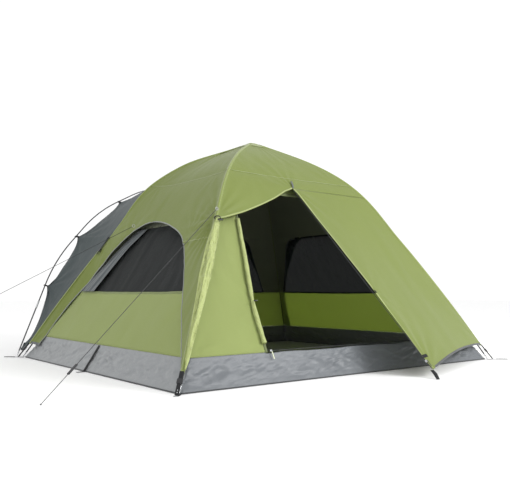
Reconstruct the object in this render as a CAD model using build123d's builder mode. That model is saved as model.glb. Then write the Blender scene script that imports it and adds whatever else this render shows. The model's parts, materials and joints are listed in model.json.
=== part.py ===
from build123d import *
import math
import os

# Dome tent for four people, pitched, with its right-hand flysheet door closed and its left one gathered.
# The frame is millimetres, +Z up, the ground at z = 0 and the origin under the crown.
# +X is to the right of someone who faces the tent from its door, and +Y is from the door to the rear.

# ---------------------------------------------------------------- driving dimensions
FLOOR_WIDTH = 2450.0
FLOOR_DEPTH = 2100.0
SHEET = 1.2
TUB_HEIGHT = 150.0
SILL_GAP = 1.0
WINDOW_SILL = 459.0
FLY_HEM = 100.0
CROWN_HEIGHT = 1510.0
INNER_TOP = 1462.0

# The shape of the dome's corner ridges: (height, distance from the centre line) of the flysheet and of
# the inner tent hung below it. Every level section of the dome is the floor's rectangle, scaled.
SKIN_PROFILE = [(0, 1641), (400, 1360), (820, 1035), (1210, 690), (1360, 434), (1510, 45)]
INNER_PROFILE = [(0, 1613.4), (150, 1490), (400, 1290), (820, 957), (1210, 605), (1360, 345), (1462, 60)]

# Poles, as (distance from the centre line, height) in each corner's own upright plane.
POLE_RADIUS = 4.75
POLE_BORE = 3.25
POLE_PATH = [(1594.7, 38), (1347, 390), (1022, 809), (672, 1197), (432, 1346), (32, 1491.2)]
POLE_BEND = 0.3
SHOCK_CORD_RADIUS = 1.5
FERRULE_LENGTH = 50.0
FERRULE_RADIUS = 6.5
FERRULE_BORE = 5.25
TIP_LENGTH = 38.0
TIP_PIN_RADIUS = 3.0
CLIP_RADIUS = 7.0
CLIP_WIRE = 1.6

# The rear awning's hoop stands in an upright plane behind the floor: (x, height) of its left half.
HOOP_PLANE = 1150.0
HOOP_PATH = [(-1228, 38), (-981, 696), (-645, 1095), (-212, 1325)]
HOOP_BEND = 0.36
AWNING_GAP = 24.0

# Flysheet arch cut-outs over the side windows, as (y, height): a straight front edge, then a curve.
ARCH_FRONT_FOOT = (-1010.0, 84.0)
ARCH_CURVE = [(-415, 742), (-150, 868), (120, 922), (320, 885), (455, 795), (612, 640), (740, 470)]
ARCH_REAR_FOOT = (900.0, 84.0)

# Inner windows.
WINDOW_HALF_SILL = 780.0
WINDOW_HALF_TOP = 400.0
WINDOW_TOP = 890.0
WINDOW_CORNER = 70.0

# Inner door: half widths at the sill, above it and at the head.
DOOR_OUTLINE = [(650, 150), (641, 410), (555, 915), (400, 1085)]

# Front of the flysheet: the gather point on the front-left ridge, the peak over the door and the tip
# of the closed right-hand flap.
GATHER_HEIGHT = 868.0
PEAK_HEIGHT = 1120.0
PEAK_X = -68.0
FLAP_TIP = Vector(150, -1400, 44)

# Guy lines: a ring on the flysheet and the end on the ground.
CORD_RADIUS = 1.5
RING_RADIUS = 9.0
RING_WIRE = 1.5
GUY_FRONT_END = Vector(-1805, -930, 5)
GUY_SIDE_END = Vector(-2320, 760, 5)
TENSIONER_LENGTH = 60.0
KNOT_RADIUS = 4.5

# ---------------------------------------------------------------- geometry shared by the parts
CORNER_REACH = math.hypot(FLOOR_WIDTH / 2, FLOOR_DEPTH / 2)
SHARE_X = FLOOR_WIDTH / 2 / CORNER_REACH
SHARE_Y = FLOOR_DEPTH / 2 / CORNER_REACH
CORNERS = {
    "front_left": (-1, -1),
    "front_right": (1, -1),
    "rear_left": (-1, 1),
    "rear_right": (1, 1),
}
SIDES = {
    "left": (SHARE_X, Plane.XZ, -1),
    "right": (SHARE_X, Plane.XZ, 1),
    "front": (SHARE_Y, Plane.YZ, -1),
    "rear": (SHARE_Y, Plane.YZ, 1),
}
UP = Vector(0, 0, 1)

os.makedirs("parts", exist_ok=True)


def reach_at(profile, height):
    """A corner ridge's distance from the centre line: a smooth curve through the profile's points."""
    slopes = [(b[1] - a[1]) / (b[0] - a[0]) for a, b in zip(profile, profile[1:])]
    ends = [slopes[0]] + [(a + b) / 2 for a, b in zip(slopes, slopes[1:])] + [slopes[-1]]
    span = 0
    while span < len(slopes) - 1 and height > profile[span + 1][0]:
        span += 1
    low, near = profile[span]
    high, far = profile[span + 1]
    step = high - low
    t = (height - low) / step
    start = (1 + 2 * t) * (1 - t) ** 2 * near + t * (1 - t) ** 2 * step * ends[span]
    return start + t * t * (3 - 2 * t) * far + t * t * (t - 1) * step * ends[span + 1]


def ridge_point(corner, height, profile=SKIN_PROFILE):
    """The point of a corner ridge at a height."""
    side_x, side_y = CORNERS[corner]
    reach = reach_at(profile, height)
    return Vector(side_x * SHARE_X * reach, side_y * SHARE_Y * reach, height)


def corner_plane(corner):
    """The upright plane of a corner's pole: local x runs outwards and local y runs up."""
    side_x, side_y = CORNERS[corner]
    outwards = Vector(side_x * SHARE_X, side_y * SHARE_Y, 0)
    return Plane(origin=(0, 0, 0), x_dir=outwards, z_dir=outwards.cross(UP))


def wall_outline(profile, share, sign, low, high):
    """The closed section of a wall sheet, as (signed distance, height), drawn square to its face."""
    steps = max(2, round((high - low) / 90))
    outer = []
    inner = []
    for i in range(steps + 1):
        height = low + (high - low) * i / steps
        out = share * reach_at(profile, height)
        lean = share * (reach_at(profile, height + 1) - reach_at(profile, height - 1)) / 2
        drop = SHEET / math.hypot(1, lean)
        outer.append((sign * out, height))
        inner.append((sign * (out - drop), height + lean * drop))
    return outer + inner[::-1]


def dome_side(side, profile, low, high):
    """One side of the dome, as a thin sheet between two corner ridges and two heights."""
    share, plane, sign = SIDES[side]
    far = 2 * CORNER_REACH
    gap = 0.4
    wide = far * SHARE_X
    deep = far * SHARE_Y
    if side in ("left", "right"):
        wedge = [(sign * gap, 0), (sign * wide, -deep), (sign * wide, deep)]
    else:
        wedge = [(0, sign * gap), (-wide, sign * deep), (wide, sign * deep)]
    with BuildPart() as sheet:
        with BuildSketch(plane):
            with BuildLine():
                Polyline(*wall_outline(profile, share, sign, low, high), close=True)
            make_face()
        extrude(amount=FLOOR_WIDTH, both=True)
        with BuildSketch():
            with BuildLine():
                Polyline(*wedge, close=True)
            make_face()
        extrude(amount=2 * CROWN_HEIGHT, mode=Mode.INTERSECT)
    return sheet.part


def prism(plane, outline, corner=0.0):
    """A long bar of the given outline, both ways from a plane, for cutting openings."""
    with BuildPart() as bar:
        with BuildSketch(plane) as section:
            with BuildLine():
                Polyline(*outline, close=True)
            make_face()
            if corner:
                fillet(section.vertices().group_by(Axis.Z)[-1], corner)
        extrude(amount=FLOOR_WIDTH, both=True)
    return bar.part


def bend_radii(points, share):
    """Radii of the arcs that join straight runs, each as large as its two runs allow."""
    radii = []
    for before, here, after in zip(points, points[1:], points[2:]):
        arrive = Vector(*here) - Vector(*before)
        leave = Vector(*after) - Vector(*here)
        turn = math.radians(arrive.get_angle(leave))
        radii.append(share * min(arrive.length, leave.length) / math.tan(turn / 2))
    return radii


def rod(start, end, radius, bore=0.0):
    """A round bar or tube from one point to another."""
    with BuildPart() as bar:
        with BuildSketch(Plane(origin=start, z_dir=end - start)):
            Circle(radius)
            if bore:
                Circle(bore, mode=Mode.SUBTRACT)
        extrude(amount=(end - start).length)
    return bar.part


def ring(centre, axis, radius, wire):
    """A closed ring of round wire."""
    with BuildPart() as loop:
        with BuildSketch(Plane(origin=centre, z_dir=axis)):
            Circle(radius + wire)
            Circle(radius - wire, mode=Mode.SUBTRACT)
        extrude(amount=wire, both=True)
        fillet(loop.edges(), wire * 0.8)
    return loop.part


def block(frame, length, width, height, edge=0.0):
    """A rounded block: length along the frame's x, width along its y, height along its z."""
    with BuildPart() as body:
        with BuildSketch(frame.offset(-height / 2)):
            Rectangle(length, width)
        extrude(amount=height)
        if edge:
            fillet(body.edges(), edge)
    return body.part


def strip(start, end, thickness):
    """The outline of a flat strap seen from its edge, in a plane's own coordinates."""
    along = Vector(end[0] - start[0], end[1] - start[1]).normalized()
    across = Vector(-along.Y, along.X) * thickness / 2
    return [
        (start[0] + across.X, start[1] + across.Y),
        (end[0] + across.X, end[1] + across.Y),
        (end[0] - across.X, end[1] - across.Y),
        (start[0] - across.X, start[1] - across.Y),
    ]


def finish(piece, label):
    """Names a finished piece and writes it."""
    piece.part.label = label
    export_step(piece.part, f"parts/{label}.step")


def group(solids, label):
    """Puts separate solids into one node."""
    with BuildPart() as piece:
        for solid in solids:
            add(solid)
    finish(piece, label)


# ---------------------------------------------------------------- frame
HUB_HEIGHT = 1490.0
HUB_RADIUS = 20.0
SOCKET_RADIUS = 8.0
SOCKET_REACH = 66.0
POLE_FIT = 0.1
pole_top = POLE_PATH[-1]
pole_next = POLE_PATH[-2]
top_run = math.hypot(pole_next[0] - pole_top[0], pole_next[1] - pole_top[1])
top_direction = ((pole_next[0] - pole_top[0]) / top_run, (pole_next[1] - pole_top[1]) / top_run)


def on_top_run(corner, distance):
    """A point on a pole's straight upper run, measured from the pole's upper end."""
    plane = corner_plane(corner)
    return plane.from_local_coords(
        Vector(pole_top[0] + top_direction[0] * distance, pole_top[1] + top_direction[1] * distance, 0)
    )


sockets = [rod(on_top_run(c, -28), on_top_run(c, SOCKET_REACH - 28), SOCKET_RADIUS) for c in CORNERS]
bore_radius = POLE_RADIUS + POLE_FIT
socket_bores = [rod(on_top_run(c, -1), on_top_run(c, SOCKET_REACH), bore_radius) for c in CORNERS]
with BuildPart() as crown_hub:
    with BuildSketch(Plane.XY.offset(HUB_HEIGHT - 10)):
        Circle(HUB_RADIUS)
    extrude(amount=20)
    chamfer(crown_hub.faces().sort_by(Axis.Z)[-1].edges(), 3)
    for socket in sockets:
        add(socket)
    for bore in socket_bores:
        add(bore, mode=Mode.SUBTRACT)
finish(crown_hub, "crown_hub")

ferrules = []
clips = []
tips = []
shock_cords = []
for corner in CORNERS:
    plane = corner_plane(corner)
    radii = bend_radii(POLE_PATH, POLE_BEND)
    with BuildPart() as leg:
        with BuildLine(plane) as run:
            FilletPolyline(*POLE_PATH, radius=radii)
        with BuildSketch(Plane(origin=run.wire() @ 0, z_dir=run.wire() % 0)):
            Circle(POLE_RADIUS)
            Circle(POLE_BORE, mode=Mode.SUBTRACT)
        sweep(path=run.wires()[0])
    finish(leg, f"pole_{corner}")
    with BuildPart() as elastic:
        with BuildLine(plane) as run:
            FilletPolyline(*POLE_PATH, radius=radii)
        with BuildSketch(Plane(origin=run.wire() @ 0, z_dir=run.wire() % 0)):
            Circle(SHOCK_CORD_RADIUS)
        sweep(path=run.wires()[0])
    shock_cords.append(elastic.part)
    points = [plane.from_local_coords(Vector(*p, 0)) for p in POLE_PATH]
    for low, high in list(zip(points, points[1:]))[:4]:
        along = (high - low).normalized()
        middle = low + (high - low) * 0.58
        half = along * FERRULE_LENGTH / 2
        ferrules.append(rod(middle - half, middle + half, FERRULE_RADIUS, FERRULE_BORE))
        clips.append(ring(low + (high - low) * 0.36, along, CLIP_RADIUS, CLIP_WIRE))
    foot = points[0]
    down = (points[0] - points[1]).normalized()
    with BuildPart() as tip:
        with BuildSketch(Plane(origin=foot + down * 0.2, z_dir=down)):
            Circle(POLE_RADIUS)
        extrude(amount=TIP_LENGTH * 0.45)
        with BuildSketch(Plane(origin=foot + down * TIP_LENGTH * 0.45, z_dir=down)):
            Circle(TIP_PIN_RADIUS)
        extrude(amount=TIP_LENGTH * 0.55)
    tips.append(tip.part)
group(shock_cords, "pole_shock_cords")

# ---------------------------------------------------------------- rear awning hoop
hoop_points = HOOP_PATH + [(-x, z) for x, z in reversed(HOOP_PATH)]
hoop_plane = Plane(origin=(0, HOOP_PLANE, 0), x_dir=(1, 0, 0), z_dir=(0, -1, 0))
with BuildPart() as rear_hoop_pole:
    with BuildLine(hoop_plane) as run:
        FilletPolyline(*hoop_points, radius=bend_radii(hoop_points, HOOP_BEND))
    with BuildSketch(Plane(origin=run.wire() @ 0, z_dir=run.wire() % 0)):
        Circle(POLE_RADIUS)
    sweep(path=run.wires()[0])
finish(rear_hoop_pole, "rear_hoop_pole")

HOOP_CLIP_SHARES = [0.72, 0.47, 0.4, 0.5, 0.6, 0.53, 0.28]
hoop_world = [Vector(x, HOOP_PLANE, z) for x, z in hoop_points]
hoop_clip_places = []
for share, low, high in zip(HOOP_CLIP_SHARES, hoop_world, hoop_world[1:]):
    place = low + (high - low) * share
    along = (high - low).normalized()
    clips.append(ring(place, along, CLIP_RADIUS, CLIP_WIRE))
    hoop_clip_places.append(place)
for low, high in ((hoop_world[0], hoop_world[1]), (hoop_world[-1], hoop_world[-2])):
    along = (high - low).normalized()
    middle = low + (high - low) * 0.5
    half = along * FERRULE_LENGTH / 2
    ferrules.append(rod(middle - half, middle + half, FERRULE_RADIUS, FERRULE_BORE))
    with BuildPart() as tip:
        with BuildSketch(Plane(origin=low - along * 0.2, z_dir=-along)):
            Circle(POLE_RADIUS)
        extrude(amount=TIP_LENGTH * 0.45)
        with BuildSketch(Plane(origin=low - along * TIP_LENGTH * 0.45, z_dir=-along)):
            Circle(TIP_PIN_RADIUS)
        extrude(amount=TIP_LENGTH * 0.5)
    tips.append(tip.part)
group(ferrules, "pole_ferrules")
group(tips, "pole_tips")
group(clips, "pole_clips")

# ---------------------------------------------------------------- flysheet
front_slope = (ARCH_CURVE[0][0] - ARCH_FRONT_FOOT[0], ARCH_CURVE[0][1] - ARCH_FRONT_FOOT[1])
with BuildPart() as arch_cut:
    with BuildSketch(Plane.YZ):
        with BuildLine():
            Line(ARCH_FRONT_FOOT, ARCH_CURVE[0])
            Spline(*ARCH_CURVE, ARCH_REAR_FOOT, tangents=(front_slope, (55, -190)))
            Polyline(ARCH_REAR_FOOT, (ARCH_REAR_FOOT[0], 0), (ARCH_FRONT_FOOT[0], 0), ARCH_FRONT_FOOT)
        make_face()
    extrude(amount=FLOOR_WIDTH, both=True)

for side in ("left", "right"):
    whole = dome_side(side, SKIN_PROFILE, FLY_HEM, CROWN_HEIGHT)
    with BuildPart() as fly_side:
        add(whole)
        add(arch_cut.part, mode=Mode.SUBTRACT)
    finish(fly_side, f"fly_{side}_panel")

PEAK = Vector(PEAK_X, -SHARE_Y * reach_at(SKIN_PROFILE, PEAK_HEIGHT), PEAK_HEIGHT)
gather = ridge_point("front_left", GATHER_HEIGHT)
brow_end = gather.X - 300
canopy_outline = [
    (brow_end, gather.Z - 75),
    (gather.X, gather.Z),
    (-569, 916),
    (-438, 969),
    (-290, 1031),
    (PEAK.X, PEAK.Z),
    (FLOOR_WIDTH, PEAK.Z),
    (FLOOR_WIDTH, 2 * CROWN_HEIGHT),
    (brow_end, 2 * CROWN_HEIGHT),
]
front_face = dome_side("front", SKIN_PROFILE, GATHER_HEIGHT - 20, CROWN_HEIGHT)
canopy_area = prism(Plane.XZ, canopy_outline)
with BuildPart() as fly_front_canopy:
    add(front_face)
    add(canopy_area, mode=Mode.INTERSECT)
finish(fly_front_canopy, "fly_front_canopy")

FLAP_CLEARANCE = Vector(-2.5, -3.5, 0)
flap_heights = [PEAK.Z - 4, 950, 780, 610, 440, 270, FLY_HEM]
with BuildLine() as flap_free_edge:
    Line(PEAK - Vector(0, 3, 4), FLAP_TIP)
with BuildLine() as flap_ridge_edge:
    Spline(*[ridge_point("front_right", z) + FLAP_CLEARANCE for z in flap_heights])
flap_face = Face.make_surface_from_curves(flap_free_edge.edge(), flap_ridge_edge.edge())
with BuildPart() as fly_front_flap:
    thicken(flap_face, amount=SHEET)
finish(fly_front_flap, "fly_front_flap")

# The left-hand flap is unzipped and gathered into a soft roll along the front-left ridge.
ROLL_HALF_WIDTH = 24.0
ROLL_HALF_DEPTH = 9.0
ROLL_SIDE_STEP = Vector(6, -16, 0)
roll_points = [ridge_point("front_left", z) + ROLL_SIDE_STEP for z in (850, 620, 370, 140)]
roll_tuples = [tuple(p) for p in roll_points]
with BuildPart() as fly_door_roll:
    with BuildLine() as run:
        FilletPolyline(*roll_points, radius=bend_radii(roll_tuples, 0.4))
    with BuildSketch(Plane(origin=run.wire() @ 0, x_dir=(1, 0, 0), z_dir=run.wire() % 0)):
        Ellipse(ROLL_HALF_WIDTH, ROLL_HALF_DEPTH)
    sweep(path=run.wires()[0])
finish(fly_door_roll, "fly_door_roll")

CROWN_PATCH_LOW = 1476.0
CROWN_PATCH_LIFT = 1.0
CROWN_PATCH_MARGIN = 3.5


def patch_solid(lift, margin):
    """The blunt pyramid under the crown patch, standing off the flysheet by a lift and a margin."""
    with BuildPart() as pyramid:
        for height in (CROWN_PATCH_LOW, CROWN_HEIGHT):
            reach = reach_at(SKIN_PROFILE, height) + margin
            with BuildSketch(Plane.XY.offset(height + lift)):
                Rectangle(2 * SHARE_X * reach, 2 * SHARE_Y * reach)
        loft()
    return pyramid.part


patch_outside = patch_solid(CROWN_PATCH_LIFT + SHEET, CROWN_PATCH_MARGIN + SHEET)
patch_inside = patch_solid(CROWN_PATCH_LIFT, CROWN_PATCH_MARGIN)
with BuildPart() as crown_patch:
    add(patch_outside)
    add(patch_inside, mode=Mode.SUBTRACT)
    split(bisect_by=Plane.XY.offset(CROWN_PATCH_LOW + 3), keep=Keep.TOP)
finish(crown_patch, "crown_patch")

# ---------------------------------------------------------------- rear awning panels
awning_heights = [118, 350, 600, 850, 1080, 1260, 1400, 1500]
AWNING_HOOP_LINE = [(-1170, 78), (-1010, 470), (-775, 830), (-450, 1120), (-0.5, 1325 - AWNING_GAP)]
AWNING_CLEARANCE = Vector(2.5, 4.5, 0)
crown_y = SHARE_Y * reach_at(SKIN_PROFILE, CROWN_HEIGHT)
awning_top = Vector(-0.5, crown_y + AWNING_CLEARANCE.Y, CROWN_HEIGHT - 1)
with BuildLine() as awning_ridge:
    Spline(*[ridge_point("rear_left", z) + AWNING_CLEARANCE for z in awning_heights], awning_top)
with BuildLine() as awning_hoop:
    Spline(*[Vector(x, HOOP_PLANE - 2, z) for x, z in AWNING_HOOP_LINE])
awning_face = Face.make_surface_from_curves(awning_ridge.edge(), awning_hoop.edge())
patch_space = patch_solid(CROWN_PATCH_LIFT + SHEET + 1.2, CROWN_PATCH_MARGIN + SHEET + 1.2)
with BuildPart() as rear_awning_left:
    thicken(awning_face, amount=SHEET)
    add(patch_space, mode=Mode.SUBTRACT)
finish(rear_awning_left, "rear_awning_left")
with BuildPart() as rear_awning_right:
    mirror(rear_awning_left.part, about=Plane.YZ)
finish(rear_awning_right, "rear_awning_right")

# ---------------------------------------------------------------- inner tent
tub_top_scale = reach_at(INNER_PROFILE, TUB_HEIGHT) / CORNER_REACH
with BuildPart() as bathtub_floor:
    with BuildSketch():
        Rectangle(FLOOR_WIDTH, FLOOR_DEPTH)
    with BuildSketch(Plane.XY.offset(TUB_HEIGHT)):
        Rectangle(FLOOR_WIDTH * tub_top_scale, FLOOR_DEPTH * tub_top_scale)
    loft()
    with BuildSketch(Plane.XY.offset(SHEET)):
        Rectangle(FLOOR_WIDTH - 4 * SHEET, FLOOR_DEPTH - 4 * SHEET)
    with BuildSketch(Plane.XY.offset(TUB_HEIGHT)):
        Rectangle(FLOOR_WIDTH * tub_top_scale - 3 * SHEET, FLOOR_DEPTH * tub_top_scale - 3 * SHEET)
    loft(mode=Mode.SUBTRACT)
finish(bathtub_floor, "bathtub_floor")

window_outline = [
    (-WINDOW_HALF_SILL, WINDOW_SILL - 60),
    (WINDOW_HALF_SILL, WINDOW_SILL - 60),
    (WINDOW_HALF_TOP, WINDOW_TOP),
    (-WINDOW_HALF_TOP, WINDOW_TOP),
]
side_window = prism(Plane.YZ, window_outline, WINDOW_CORNER)
rear_window = prism(Plane.XZ, window_outline, WINDOW_CORNER)
for side, opening in (("left", side_window), ("right", side_window), ("rear", rear_window)):
    lower = dome_side(side, INNER_PROFILE, TUB_HEIGHT + SILL_GAP, WINDOW_SILL)
    upper = dome_side(side, INNER_PROFILE, WINDOW_SILL, INNER_TOP)
    with BuildPart() as wall:
        add(lower)
    finish(wall, f"inner_{side}_wall")
    with BuildPart() as roof:
        add(upper)
        add(opening, mode=Mode.SUBTRACT)
    finish(roof, f"inner_{side}_roof")
    with BuildPart() as mesh:
        add(upper)
        add(opening, mode=Mode.INTERSECT)
    finish(mesh, f"inner_{side}_window")

door_outline = [(x, z - SILL_GAP) for x, z in DOOR_OUTLINE]
door_outline += [(-x, z - SILL_GAP) for x, z in reversed(DOOR_OUTLINE)]
door_head = DOOR_OUTLINE[-1][1]
door_opening = prism(Plane.XZ, door_outline)
front_wall = dome_side("front", INNER_PROFILE, TUB_HEIGHT + SILL_GAP, door_head)
for side, sign in (("left", -1), ("right", 1)):
    half_space = prism(Plane.XZ, [(0, 0), (sign * FLOOR_WIDTH, 0), (sign * FLOOR_WIDTH, 1500), (0, 1500)])
    with BuildPart() as panel:
        add(front_wall)
        add(door_opening, mode=Mode.SUBTRACT)
        add(half_space, mode=Mode.INTERSECT)
    finish(panel, f"inner_front_{side}_panel")
front_roof = dome_side("front", INNER_PROFILE, door_head, INNER_TOP)
with BuildPart() as inner_front_roof:
    add(front_roof)
finish(inner_front_roof, "inner_front_roof")

# The inner door is unzipped and rolled along its left edge, outside the wall.
DOOR_ROLL_OUT = 14.0
door_roll_points = []
for edge_x, height in ((-662, 196), (-655, 400), (-612, 650), (-572, 880)):
    depth = SHARE_Y * reach_at(INNER_PROFILE, height) + DOOR_ROLL_OUT
    door_roll_points.append(Vector(edge_x, -depth, height))
door_roll_tuples = [tuple(p) for p in door_roll_points]
with BuildPart() as inner_door_roll:
    with BuildLine() as run:
        FilletPolyline(*door_roll_points, radius=bend_radii(door_roll_tuples, 0.4))
    with BuildSketch(Plane(origin=run.wire() @ 0, x_dir=(1, 0, 0), z_dir=run.wire() % 0)):
        Ellipse(13, 10)
    sweep(path=run.wires()[0])
finish(inner_door_roll, "inner_door_roll")

# The rain flap of the left window, half unzipped: it covers the rear part of the mesh from outside.
WINDOW_FLAP_LIFT = 7.0
flap_profile = [(z, r + WINDOW_FLAP_LIFT) for z, r in INNER_PROFILE]
flap_sheet = dome_side("left", flap_profile, WINDOW_SILL + 4, WINDOW_TOP - 8)
flap_bar = prism(Plane.YZ, [(500, 440), (740, 440), (420, 890), (330, 890), (405, 760), (455, 640)])
with BuildPart() as window_flap:
    add(flap_sheet)
    add(flap_bar, mode=Mode.INTERSECT)
finish(window_flap, "window_flap")

# ---------------------------------------------------------------- zips
zip_start = PEAK - Vector(0, 3, 4)
zip_run = FLAP_TIP - zip_start
zip_down = zip_run.normalized()
flap_across = (ridge_point("front_right", 600) - (zip_start + zip_run * 0.5)).normalized()
flap_normal = zip_down.cross(flap_across).normalized()
if flap_normal.Y > 0:
    flap_normal = -flap_normal
flap_side = zip_down.cross(flap_normal).normalized()
if flap_side.X > 0:
    flap_side = -flap_side
ZIP_OFFSET = 7.0
COIL_RADIUS = 1.6
SLIDER_LENGTH = 14.0
SLIDER_WIDTH = 10.0
SLIDER_HEIGHT = 8.0
COIL_BORE = 2.2
PULL_LENGTH = 42.0
PULL_WIDTH = 6.0
PULL_THICKNESS = 2.0
coil_start = zip_start + flap_side * ZIP_OFFSET + zip_down * 12
coil_end = FLAP_TIP + flap_side * ZIP_OFFSET - zip_down * 6
group([rod(coil_start, coil_end, COIL_RADIUS)], "fly_zip_coil")


def zip_slider(centre, along, outwards, label):
    """A slider block with a bore for its coil and a bridge that carries the pull."""
    frame = Plane(origin=centre, x_dir=along, z_dir=outwards)
    body = block(frame, SLIDER_LENGTH, SLIDER_WIDTH, SLIDER_HEIGHT, 1.2)
    bridge = block(frame.offset(SLIDER_HEIGHT / 2 + 1.5), 7, 3, 4, 0.8)
    tunnel = rod(centre - along * 20, centre + along * 20, COIL_BORE)
    with BuildPart() as slider:
        add(body)
        add(bridge)
        add(tunnel, mode=Mode.SUBTRACT)
    finish(slider, label)


def zip_pull(pivot, hang, outwards, label):
    """A flat pull that lies along the cloth, rounded at its end."""
    frame = Plane(origin=pivot + hang * (PULL_LENGTH / 2), x_dir=hang, z_dir=outwards)
    body = block(frame, PULL_LENGTH, PULL_WIDTH, PULL_THICKNESS)
    with BuildPart() as pull:
        add(body)
        fillet(pull.edges().filter_by(Axis(pivot, outwards)), PULL_WIDTH / 2 - 0.2)
    finish(pull, label)


FLY_SLIDER_BACK = 50.0
fly_slider_centre = coil_end - zip_down * FLY_SLIDER_BACK
zip_slider(fly_slider_centre, zip_down, flap_normal, "fly_zip_slider")
fly_pull_hang = (-UP + flap_normal * flap_normal.Z).normalized()
fly_pull_pivot = fly_slider_centre + flap_normal * (SLIDER_HEIGHT / 2 + 3.5 + PULL_THICKNESS / 2 + 0.4)
zip_pull(fly_pull_pivot, fly_pull_hang, flap_normal, "fly_zip_pull")

tabs = []
for share in (0.3, 0.616):
    centre = zip_start + zip_run * share - flap_side * 26 + flap_normal * 7
    tabs.append(block(Plane(origin=centre, x_dir=flap_side, z_dir=flap_normal), 34, 16, 2, 0.6))

sill_y = -SHARE_Y * reach_at(INNER_PROFILE, TUB_HEIGHT)
SILL_COIL_HEIGHT = TUB_HEIGHT + 7.0
SILL_COIL_HALF = 642.0
sill_left = Vector(-SILL_COIL_HALF, sill_y, SILL_COIL_HEIGHT)
sill_right = Vector(SILL_COIL_HALF, sill_y, SILL_COIL_HEIGHT)
group([rod(sill_left, sill_right, COIL_RADIUS)], "door_zip_coil")
band_rise = Vector(0, FLOOR_DEPTH / 2 + sill_y, TUB_HEIGHT).normalized()
band_normal = Vector(0, -band_rise.Z, band_rise.Y)
DOOR_SLIDER_INSET = 14.0
door_slider_centre = Vector(-SILL_COIL_HALF + DOOR_SLIDER_INSET, sill_y, SILL_COIL_HEIGHT)
zip_slider(door_slider_centre, Vector(1, 0, 0), Vector(0, -1, 0), "door_zip_slider")
door_pull_pivot = Vector(door_slider_centre.X, sill_y, TUB_HEIGHT) + band_normal * 11 - band_rise * 1
zip_pull(door_pull_pivot, -band_rise, band_normal, "door_zip_pull")

# ---------------------------------------------------------------- toggles and the lantern hook


def toggle(centre, along, radius, length, label):
    """A moulded toggle: a waisted bar with round ends."""
    half = length / 2
    with BuildPart() as bar:
        with BuildSketch(Plane(origin=centre, x_dir=along, z_dir=along.cross(UP + Vector(0.3, 0.1, 0)))):
            with BuildLine():
                Line((-half, 0), (half, 0))
                Polyline((half, 0), (half - 1, radius * 0.8), (half - 4, radius), (0, radius * 0.75))
                Polyline((0, radius * 0.75), (4 - half, radius), (1 - half, radius * 0.8), (-half, 0))
            make_face()
        revolve(axis=Axis(centre, along))
    finish(bar, label)


gather_normal = Vector(-SHARE_X, -SHARE_Y, 0.85).normalized()
door_toggle_centre = roll_points[0] + Vector(0, -27, 4)
toggle(door_toggle_centre, Vector(1, 0, 0), 5.0, 34.0, "door_tie_toggle")
inner_toggle_centre = door_roll_points[1] + Vector(0, -24, 14)
toggle(inner_toggle_centre, Vector(1, 0, 0), 4.0, 26.0, "inner_tie_toggle")

LANTERN_PIVOT = 1436.0
lantern_ring = ring(Vector(0, 0, LANTERN_PIVOT - 22), Vector(0, 1, 0), 14.0, 1.5)
lantern_eye = block(Plane(origin=(0, 0, LANTERN_PIVOT - 1)), 8, 10, 8, 1.0)
with BuildPart() as lantern_hook:
    add(lantern_ring)
    add(lantern_eye)
finish(lantern_hook, "lantern_hook")

# ---------------------------------------------------------------- ground fixings
STRAP_WIDTH = 20.0
STRAP_THICKNESS = 1.5
LAYER_STEP = 3.0
STRAP_TOP = (1575.0, 99.0)
STRAP_FOOT = (1650.0, 5.0)
FOOT_RING_REACH = 1664.0
PEG_RING_RADIUS = 7.0
PEG_RING_RIM = 4.0
PEG_RING_THICKNESS = 3.0
strap_run = math.hypot(STRAP_FOOT[0] - STRAP_TOP[0], STRAP_FOOT[1] - STRAP_TOP[1])
strap_along = ((STRAP_FOOT[0] - STRAP_TOP[0]) / strap_run, (STRAP_FOOT[1] - STRAP_TOP[1]) / strap_run)
strap_out = (-strap_along[1], strap_along[0])
foot_tab_outline = [(r, z) for r, z in zip((1616, 1651, 1651, 1616), (0, 0, 1.5, 1.5))]
straps = []
foot_rings = []
BUCKLE_PLACE = 0.42
for corner in CORNERS:
    plane = corner_plane(corner)
    for layer in (0, 1):
        shift = (strap_out[0] * LAYER_STEP * layer, strap_out[1] * LAYER_STEP * layer)
        start = (STRAP_TOP[0] + shift[0], STRAP_TOP[1] + shift[1])
        end = (STRAP_FOOT[0] + shift[0], STRAP_FOOT[1] + shift[1])
        with BuildPart() as strap:
            with BuildSketch(plane):
                with BuildLine():
                    Polyline(*strip(start, end, STRAP_THICKNESS), close=True)
                make_face()
            extrude(amount=STRAP_WIDTH / 2, both=True)
        straps.append(strap.part)
    with BuildPart() as foot_tab:
        with BuildSketch(plane):
            with BuildLine():
                Polyline(*foot_tab_outline, close=True)
            make_face()
        extrude(amount=STRAP_WIDTH / 2, both=True)
    straps.append(foot_tab.part)
    with BuildPart() as foot_ring:
        with BuildSketch(Plane(origin=plane.from_local_coords(Vector(FOOT_RING_REACH, 0.5, 0)))):
            Circle(PEG_RING_RADIUS + PEG_RING_RIM)
            Circle(PEG_RING_RADIUS, mode=Mode.SUBTRACT)
        extrude(amount=PEG_RING_THICKNESS)
    foot_rings.append(foot_ring.part)
    centre = plane.from_local_coords(
        Vector(
            STRAP_TOP[0] + strap_along[0] * strap_run * BUCKLE_PLACE + strap_out[0] * LAYER_STEP / 2,
            STRAP_TOP[1] + strap_along[1] * strap_run * BUCKLE_PLACE + strap_out[1] * LAYER_STEP / 2,
            0,
        )
    )
    along = plane.from_local_coords(Vector(*strap_along, 0))
    outwards = plane.from_local_coords(Vector(*strap_out, 0))
    frame = Plane(origin=centre, x_dir=along, z_dir=outwards)
    body = block(frame, 24, STRAP_WIDTH + 8, 9, 1.5)
    slot = block(frame, 60, STRAP_WIDTH + 1, 6)
    with BuildPart() as buckle:
        add(body)
        add(slot, mode=Mode.SUBTRACT)
    finish(buckle, f"corner_buckle_{corner}")
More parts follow.
